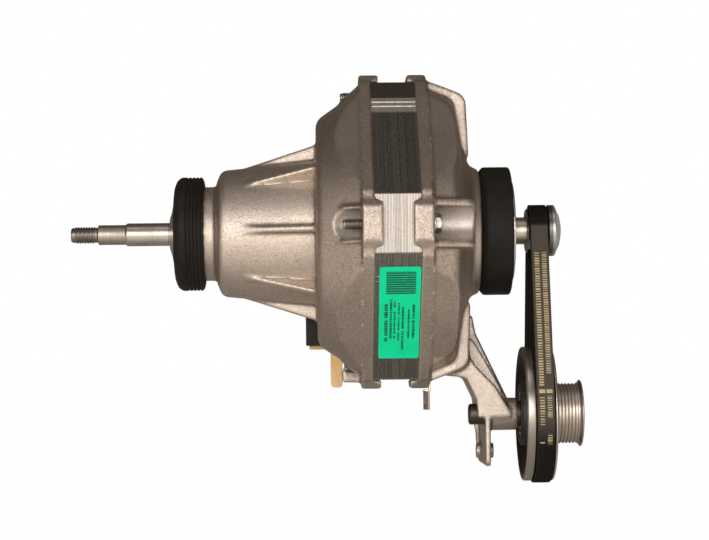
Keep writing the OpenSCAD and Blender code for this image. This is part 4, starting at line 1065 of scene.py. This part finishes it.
# %% Four bolts
LOWEST = 2


def bolt_at(corner):
    """The bolt of one corner, counted from the top one."""
    bolt = joined_piece("bolt_%d" % corner, [*bolt_rod(), bolt_washer(), bolt_head()])
    shift = mm(TAB_SHEET) if corner == LOWEST else 0
    return edit(bolt, lambda: bpy.ops.transform.translate(value=(shift, 0, mm(BOLT_CIRCLE))),
                lambda: bpy.ops.transform.rotate(value=-corner * math.pi / 2, orient_axis="X",
                                                 center_override=(0, 0, 0)))


bolts = joined_piece("threaded_bolts", [bolt_at(corner) for corner in range(4)])
hand_over(bolts, "through_bolts")
print("bolts measure", [round(v * PER_METRE, 1) for v in bolts.dimensions])

# %% [markdown]
# ### Shaft
# The shaft is turned in steps, with a small chamfer at each, and its end is threaded for the
# nut that holds the fan. Only its ends show; the part inside the motor follows the CAD solid.
# One outline of (along the axis, radius) points has all its steps, from left to right.

# %% Shaft
shaft_low, shaft_high = span("rotor_shaft")
SHAFT_STEPS = [
    (shaft_low.x, 0), (shaft_low.x, 3.1), (shaft_low.x + 0.9, 3.55), (-189.9, 3.55),
    (-189.5, 4.0), (-189.5, 4.45), (-189.2, 4.75), (-176.5, 4.75), (-175.5, 5.5),
    (-155.5, 5.5), (-155.5, 5.3), (-147.8, 5.3), (-147.8, 6.0), (-137.4, 6.0), (-137.4, 7.4),
    (-131.4, 8.6), (-59.7, 8.6), (-58.7, 9.0), (-37.7, 9.0), (-36.7, 8.6), (-9.2, 8.6),
    (-5.2, 8.7), (-5.2, 7.5), (5.8, 7.5), (5.8, 7.0), (6.8, 7.0), (7.4, 6.5),
    (shaft_high.x, 6.5), (shaft_high.x, 0)]
FAN_THREAD_END = -189.7
FAN_THREAD_R = 4.0
FAN_THREAD_PITCH = 1.25

shaft = lathe("stepped_shaft", SHAFT_STEPS)
break_edges(shaft, 0.12, EDGE_ANGLE)
fan_thread = threaded_skin("fan_thread", shaft_low.x + 0.4, FAN_THREAD_END, FAN_THREAD_R,
                           FAN_THREAD_PITCH)
hand_over(joined_piece("threaded_shaft", [shaft, fan_thread]), "rotor_shaft", shaft_steel())

# %% [markdown]
# ### Drum pulley
# The drum's belt runs in seven grooves. In the picture they look about half as deep as in the
# solid, so a plain tube fills their floors. It's turned on the lathe about the motor axis and
# then moved down to the wheel's axle. The pulley's outer lip stands 1.5 mm above its lands, so
# the depth that is left can be worked out and printed.

# %% Drum pulley
drum_low, drum_high = span("drum_pulley")
FILLED_START = drum_low.x + 4.7
FILLED_END = drum_high.x - 1.5
FILLED_FROM_R = 13.0
GROOVE_FLOOR_R = 13.85
DRUM_LIP = 1.5

pulley = eased_copy("drum_pulley", "grooved_pulley", 0.12)
filling = lathe("groove_floor", [
    (FILLED_START, FILLED_FROM_R), (FILLED_START, GROOVE_FLOOR_R),
    (FILLED_END, GROOVE_FLOOR_R), (FILLED_END, FILLED_FROM_R)])
edit(filling, lambda: bpy.ops.transform.translate(value=(0, 0, mm(WHEEL_Z))))
drum_steel = turned("drum_steel", (0.8, 0.7, 0.59), (0.42, 0.36, 0.3), (0.36, 0.46), WHEEL_Z)
print("groove depth left", round((drum_high.z - drum_low.z) / 2 - DRUM_LIP - GROOVE_FLOOR_R, 2))
hand_over(joined_piece("filled_drum_pulley", [pulley, filling]), "drum_pulley", drum_steel)

# %% [markdown]
# ### Flange of the small pulley
# A turned cap closes the end of the shaft and keeps the belt on: a short rim and a low dome.
# The rim is darker next to the belt and bright at its edge. The dome is painted pale and dull, a
# painted light that keeps it bright though it faces away from the lamp, where steel would only
# mirror the dark side of the room; for that, the finish fades from metal to a pale dull surface
# over the rim's edge.

# %% Finish of the flange
flange_low, flange_high = span("pulley_end_flange")
FLANGE_R = (flange_high.z - flange_low.z) / 2
FLANGE_RIM = flange_low.x + 3.9
FLANGE_EDGE = ((0.72, 0.7, 0.64), (0.46, 0.44, 0.4))
BELT_SIDE_DARK = (0.09, 0.09, 0.075)
DOME_PAINTED_PALE = (0.95, 0.94, 0.88)


def flange_steel():
    steel = Finish("flange_steel")
    x, y, z = steel.axes()
    lines = steel.noise(0.35, 2, 0.7, steel.joined(x, (y * y + z * z).power(0.5), 0.0))
    smear = steel.noise(7, 3, 0.6)
    # Over the dome the steel fades to a pale dull surface: painted light that keeps it bright.
    dome = x.ramp(mm(FLANGE_RIM - 0.4), mm(FLANGE_RIM + 0.2)) * 0.9
    belt_side_dark = x.ramp(mm(FLANGE_RIM - 0.9), mm(FLANGE_RIM - 1.9))
    tone = steel.mix(lines.ramp(0.3, 0.7) * 0.45 + smear.ramp(0.4, 0.7) * 0.35, *FLANGE_EDGE)
    tone = steel.mix(belt_side_dark * 0.85, tone, BELT_SIDE_DARK)
    return steel.set({
        "Base Color": steel.mix(dome, tone, DOME_PAINTED_PALE), "Metallic": 1 - dome,
        "Roughness": smear.ramp(0.3, 0.7, 0.3, 0.4), "Normal": steel.bump(lines, 0.008, 0.5)})


# %% [markdown]
# The cap's outline is one chain of points: up the face beside the belt, along the short rim,
# over its rounded edge and down a low, full dome to the axis.

# %% Flange
FLANGE_OUTLINE = [
    (flange_low.x, 0), (flange_low.x, FLANGE_R - 1.2), (flange_low.x + 0.6, FLANGE_R),
    (FLANGE_RIM - 0.4, FLANGE_R), (FLANGE_RIM, FLANGE_R - 0.4), (FLANGE_RIM + 0.9, FLANGE_R - 2.5),
    (flange_high.x - 1.1, 7.4), (flange_high.x - 0.3, 3.6), (flange_high.x, 0)]

flange = lathe("domed_flange", FLANGE_OUTLINE)
break_edges(flange, 0.15, EDGE_ANGLE)
hand_over(flange, "pulley_end_flange", flange_steel())

# %% [markdown]
# ### Drive belt
# The belt is one long strip of rubber bent into a loop: flat on its back, with five V ribs
# inside. So its cross-section is drawn once and carried round the path, which is an arc over
# each pulley and a straight run between them.

# %% Section of the belt
BELT_HALF = 4.1
BELT_BACK = 2.6
RIB_PITCH = 1.6
RIBS = 5


def belt_section():
    """Points across the belt: (across, above the lands), ribs first, then round the back."""
    points = []
    for i in range(RIBS):
        middle = (i - RIBS // 2) * RIB_PITCH
        points += [(middle - 0.74, 0.32), (middle - 0.36, -0.38), (middle - 0.22, -0.5),
                   (middle + 0.22, -0.5), (middle + 0.36, -0.38), (middle + 0.74, 0.32)]
    return points + [(BELT_HALF - 0.12, 0.4), (BELT_HALF, 0.6), (BELT_HALF, BELT_BACK - 0.35),
                     (BELT_HALF - 0.1, BELT_BACK - 0.1), (BELT_HALF - 0.35, BELT_BACK),
                     (0.35 - BELT_HALF, BELT_BACK), (0.1 - BELT_HALF, BELT_BACK - 0.1),
                     (-BELT_HALF, BELT_BACK - 0.35), (-BELT_HALF, 0.6), (0.12 - BELT_HALF, 0.4)]


# %% [markdown]
# The runs lean by an angle whose sine is the difference of the two radii over the distance of
# the axles, and each arc ends at that angle. The strip keeps a map of how far along and how
# far across each point lies, in metres, and the print on its back is laid out on that map. The
# ribs' part of the map is shifted aside, so that no print falls on them.

# %% Path of the belt
MOTOR_LAND = 9.8
WHEEL_LAND = 30.4
BELT_LEAN = math.asin((WHEEL_LAND - MOTOR_LAND) / -WHEEL_Z)
RIBS_ASIDE = 30


def belt_stations():
    """Middle height, land radius and angle of each place where the section is set."""
    stations = []
    for height, radius, start, end, steps in (
            (0, MOTOR_LAND, BELT_LEAN, math.pi - BELT_LEAN, 36),
            (WHEEL_Z, WHEEL_LAND, math.pi - BELT_LEAN, math.tau + BELT_LEAN, 72)):
        stations += [(height, radius, start + (end - start) * i / steps)
                     for i in range(steps + 1)]
    return stations


def ribbed_belt():
    section = belt_section()
    rows, along = [], [0.0]
    for height, radius, angle in belt_stations():
        rows.append([(BELT_PLANE + across, (radius + out) * math.cos(angle),
                      height + (radius + out) * math.sin(angle)) for across, out in section])
    back = section.index((0.35 - BELT_HALF, BELT_BACK))
    for i in range(len(rows)):
        along.append(along[-1] + math.dist(rows[i][back], rows[(i + 1) % len(rows)][back]))
    wide = len(section)
    strip = [across if out > BELT_BACK / 2 else across + RIBS_ASIDE for across, out in section]
    faces, maps = [], []
    for i in range(len(rows)):
        j = (i + 1) % len(rows)
        for k in range(wide):
            m = (k + 1) % wide
            faces.append((i * wide + k, j * wide + k, j * wide + m, i * wide + m))
            u0, u1 = along[i], along[i + 1]
            maps += [(u0, strip[k]), (u1, strip[k]), (u1, strip[m]), (u0, strip[m])]
    belt = new_piece("ribbed_belt", [point for row in rows for point in row], (), faces)
    layer = belt.data.uv_layers.new(name="strip")
    layer.data.foreach_set("uv", np.array(maps, np.float32).ravel() / PER_METRE)
    edit(belt, outwards)
    bpy.ops.object.shade_smooth_by_angle(angle=EDGE_ANGLE)
    print("belt length", round(along[-1]), "mm")
    return belt


# %% [markdown]
# The print on the belt is two rows of short ticks and one cross stripe, in the gold ink that
# such belts carry. The belt is counted off in cells, and a random number for each cell sets
# how wide its tick is; now and then a whole group of them is blank. The rubber shows through
# where the ink has rubbed off.

# %% Print of the belt
INK = (0.72, 0.58, 0.33)
STRIPE_AT = 114.8
STRIPE_HALF = 0.9
STRIPE_ROW = (1.7, 1.4)
CLEAR_HALF = 2.2
PRINT_START = 47.5
PRINT_END = 140.0
PRINT_ROWS = ((-1.75, 1.1, 1.25), (1.75, 1.1, 1.1))
GROUP = 7.0
BLANK_GROUPS = 0.04


def belt_print(rubber, along, across):
    """A mask of the ink, from the place along and across the strip."""
    from_stripe = (along - mm(STRIPE_AT)).size()
    middle, half = STRIPE_ROW
    ink = (from_stripe < mm(STRIPE_HALF)) * ((across.size() - mm(middle)).size() < mm(half))
    clear = from_stripe > mm(CLEAR_HALF)
    for middle, half, cell in PRINT_ROWS:
        count = along * (1 / mm(cell))
        chance = rubber.dice(rubber.joined(count.whole(), middle, 0.0))
        group = rubber.dice(rubber.joined((along * (1 / mm(GROUP)) + middle).whole(), 0.0, 1.0))
        tick = (count.fraction() > 0.1) * (count.fraction() < chance * 0.35 + 0.42)
        row = (across - mm(middle)).size() < mm(half)
        ink = ink + tick * row * (group > BLANK_GROUPS) * clear
    return ink * (along > mm(PRINT_START)) * (along < mm(PRINT_END))


# %% [markdown]
# The rubber itself is nearly black on its edges and ribs. Its back is a woven cover. A grey is
# painted on it by height, as painted light where the straight runs face the lamp; it fades out
# towards the top and the foot of the runs, where the belt bends away.

# %% Belt rubber
BELT_BLACK = ((0.009, 0.007, 0.005), (0.016, 0.013, 0.01))
BELT_COVER_LIT = (0.11, 0.088, 0.069)
BELT_EDGE = (0.05, 0.042, 0.03)
LIT_COVER_FOOT = (-103, -88)
LIT_COVER_TOP = (1, 3)


def belt_rubber():
    rubber = Finish("printed_belt")
    strip = rubber.node("ShaderNodeUVMap", {"uv_map": "strip"})
    along, across, _ = rubber.axes(strip)
    z = rubber.axes()[2]
    worn = rubber.noise(1.3, 4, 0.7)
    cloud = rubber.noise(9, 4, 0.65)
    fabric = rubber.noise(0.35, 2, 0.6)
    # Painted light: the grey is full where the runs face the lamp and fades where the belt bends
    # away.
    lit_cover = (across.size() < mm(BELT_HALF)) * z.ramp(*[mm(v) for v in LIT_COVER_FOOT], 0.08, 1)
    lit_cover = lit_cover * z.ramp(*[mm(v) for v in reversed(LIT_COVER_TOP)])
    edge = across.size() > mm(BELT_HALF - 0.4)
    ink = belt_print(rubber, along, across) * worn.ramp(0.3, 0.42)
    tone = rubber.mix(cloud.ramp(0.3, 0.75), *BELT_BLACK)
    tone = rubber.mix(lit_cover, tone, BELT_COVER_LIT)
    tone = rubber.mix(edge * 0.4, tone, BELT_EDGE)
    tone = rubber.mix(ink * 0.92, tone, INK)
    return rubber.set({
        "Base Color": tone, "Roughness": cloud.ramp(0.3, 0.7, 0.55, 0.7),
        "Specular IOR Level": 0.08, "Normal": rubber.bump(fabric, 0.05, 0.5)})


hand_over(ribbed_belt(), "drive_belt", belt_rubber())

# %% [markdown]
# ### Cleats
# Pairs of steel bars are pressed into grooves along the sides of the stack and hold the sheets
# together. They are round bars, hammered a little flat, paler than the sheets and dented
# across by their edges. The side with the label has none, because there the label lies flat.

# %% Finish of the cleats
CLEAT_LIGHT = (0.74, 0.68, 0.59)
CLEAT_DARK = (0.32, 0.28, 0.23)


def cleat_steel():
    steel = Finish("cleat_steel")
    x, y, z = steel.axes()
    dent = ((x * (1 / mm(SHEET_PITCH))).fraction() - 0.5).size().ramp(0.25, 0.5)
    cloud = steel.noise(1.6, 3, 0.7)
    tone = steel.mix(dent * 0.45 + cloud.ramp(0.35, 0.7) * 0.3, CLEAT_LIGHT, CLEAT_DARK)
    return steel.set({
        "Base Color": tone, "Metallic": 1.0, "Roughness": cloud.ramp(0.3, 0.7, 0.44, 0.6),
        "Normal": steel.bump(1 - dent, 0.06, 0.8)})


# %% [markdown]
# A bar is a plain cylinder as long as the stack, squeezed flat towards the motor axis, with
# its ends broken a little. It's laid in the groove on top and turned to its own side of the
# stack. Six of them make one piece, which rides on the housing and stands for no node.

# %% Cleat bars
stack_low, stack_high = span("stator_core")
CLEAT_LENGTH = stack_high.x - stack_low.x - 0.2
CLEAT_MIDDLE = (stack_low.x + stack_high.x) / 2
CLEAT_ALONG = 24.4
CLEAT_PITCH = 1.6
CLEAT_R = 0.95
CLEAT_FLATTENED = 0.75
CLEAT_DEPTH = 58.9
CLEAT_SIDES = (0, 2, 3)


def cleat(side, offset):
    """One bar, made on the top side of the stack and turned to its own."""
    bpy.ops.object.select_all(action="DESELECT")
    bpy.ops.mesh.primitive_cylinder_add(vertices=16, radius=mm(CLEAT_R), depth=mm(CLEAT_LENGTH),
                                        rotation=(0, math.pi / 2, 0))
    bar = bpy.context.object
    bpy.ops.object.transform_apply(location=True, rotation=True, scale=True)
    place = (mm(CLEAT_MIDDLE), mm(CLEAT_ALONG + offset), mm(CLEAT_DEPTH))
    turn = -(side * math.pi / 2 + math.pi / 4)
    edit(bar, lambda: bpy.ops.transform.resize(value=(1, 1, CLEAT_FLATTENED)),
         lambda: bpy.ops.transform.translate(value=place),
         lambda: bpy.ops.transform.rotate(value=turn, orient_axis="X",
                                          center_override=(0, 0, 0)))
    break_edges(bar, 0.25, math.radians(50))
    return bar


cleats = joined_piece("cleat_bars", [
    cleat(side, offset) for side in CLEAT_SIDES for offset in (-CLEAT_PITCH, CLEAT_PITCH)])
bpy.ops.object.shade_smooth_by_angle(angle=EDGE_ANGLE)
cleats.data.materials.clear()
cleats.data.materials.append(cleat_steel().material)
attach(cleats, "housing")
print("cleat bars:", 2 * len(CLEAT_SIDES), "of", round(CLEAT_LENGTH, 1), "mm")

# %% [markdown]
# ## White room
# The photograph has a plain white ground. The camera sees the room as white by the light path,
# not by more light: each kind of ray chooses its own strength. Metal sees the room too, but
# dimmer and warmer, as it would the far walls of a studio, so faces that turn away from the
# lens stay dark.

# %% White room
WHITE = (1, 1, 1, 1)
WARM_WALL = (1, 0.84, 0.7, 1)
ROOM = 0.08
SEEN_IN_METAL = 0.1


def white_room():
    world = bpy.data.worlds.new("studio")
    bpy.context.scene.world = world
    world.use_nodes = True
    tree = world.node_tree
    tree.nodes.clear()
    path = tree.nodes.new("ShaderNodeLightPath")
    strength = None
    for ray, value in (("Is Glossy Ray", SEEN_IN_METAL), ("Is Transmission Ray", 1.0),
                       ("Is Camera Ray", 1.0)):
        choice = tree.nodes.new("ShaderNodeMix")
        tree.links.new(path.outputs[ray], choice.inputs[0])
        if strength is None:
            choice.inputs[2].default_value = ROOM
        else:
            tree.links.new(strength, choice.inputs[2])
        choice.inputs[3].default_value = value
        strength = choice.outputs[0]
    tint = tree.nodes.new("ShaderNodeMix")
    tint.data_type = "RGBA"
    tint.inputs[6].default_value = WARM_WALL
    tint.inputs[7].default_value = WHITE
    tree.links.new(path.outputs["Is Camera Ray"], tint.inputs[0])
    seen = tree.nodes.new("ShaderNodeBackground")
    tree.links.new(tint.outputs[2], seen.inputs["Color"])
    tree.links.new(strength, seen.inputs["Strength"])
    output = tree.nodes.new("ShaderNodeOutputWorld")
    tree.links.new(seen.outputs[0], output.inputs[0])


white_room()

# %% [markdown]
# ## Floor
# The floor is mixed of two surfaces: a lit white one and a plain glow. The camera sees nearly
# all glow, and the hundredth that is left of the lit surface keeps a faint shadow. In metal
# the floor is dim below and behind the motor and bright ahead of it, where the light falls,
# and that is what lights the undersides of the castings.

# %% Floor
FLOOR_SIZE = 12
FLOOR_UNDER = 1
FLOOR_Z = mm(min(span(node)[0].z for node in frame["nodes"]) - FLOOR_UNDER)
GLOW_SHARE = 0.99
GLOW_IN_METAL = (1.0, 0.14)
GLOW_AHEAD = (-170, 0)
GLOW_WHITE = (1.0, 1.0, 1.0)
GLOW_WARM = (1.0, 0.92, 0.85)


def floor_paint():
    paint = Finish("floor_white")
    paint.set({"Base Color": (0.86, 0.86, 0.86, 1), "Roughness": 0.9})
    by_camera = paint.node("ShaderNodeLightPath", output="Is Camera Ray")
    in_metal = paint.node("ShaderNodeLightPath", output="Is Glossy Ray")
    in_glass = paint.node("ShaderNodeLightPath", output="Is Transmission Ray")
    front, under = GLOW_AHEAD
    ahead = paint.axes()[1].ramp(mm(front), mm(under), *GLOW_IN_METAL)
    glow = paint.node("ShaderNodeEmission", inputs={
        "Color": paint.mix(by_camera, GLOW_WARM, GLOW_WHITE), "Strength": 1.0})
    both = paint.tree.nodes.new("ShaderNodeMixShader")
    paint.feed(both.inputs[0],
               by_camera * GLOW_SHARE + in_metal * ahead + in_glass * GLOW_SHARE)
    paint.tree.links.new(paint.shader.outputs[0], both.inputs[1])
    paint.feed(both.inputs[2], glow)
    paint.tree.links.new(both.outputs[0], paint.tree.nodes["Material Output"].inputs["Surface"])
    return paint


bpy.ops.object.select_all(action="DESELECT")
bpy.ops.mesh.primitive_plane_add(size=FLOOR_SIZE, location=(0, 0, FLOOR_Z))
floor = bpy.context.object
floor.name = "floor"
floor.data.materials.append(floor_paint().material)
print("floor at z", round(FLOOR_Z * PER_METRE, 1))
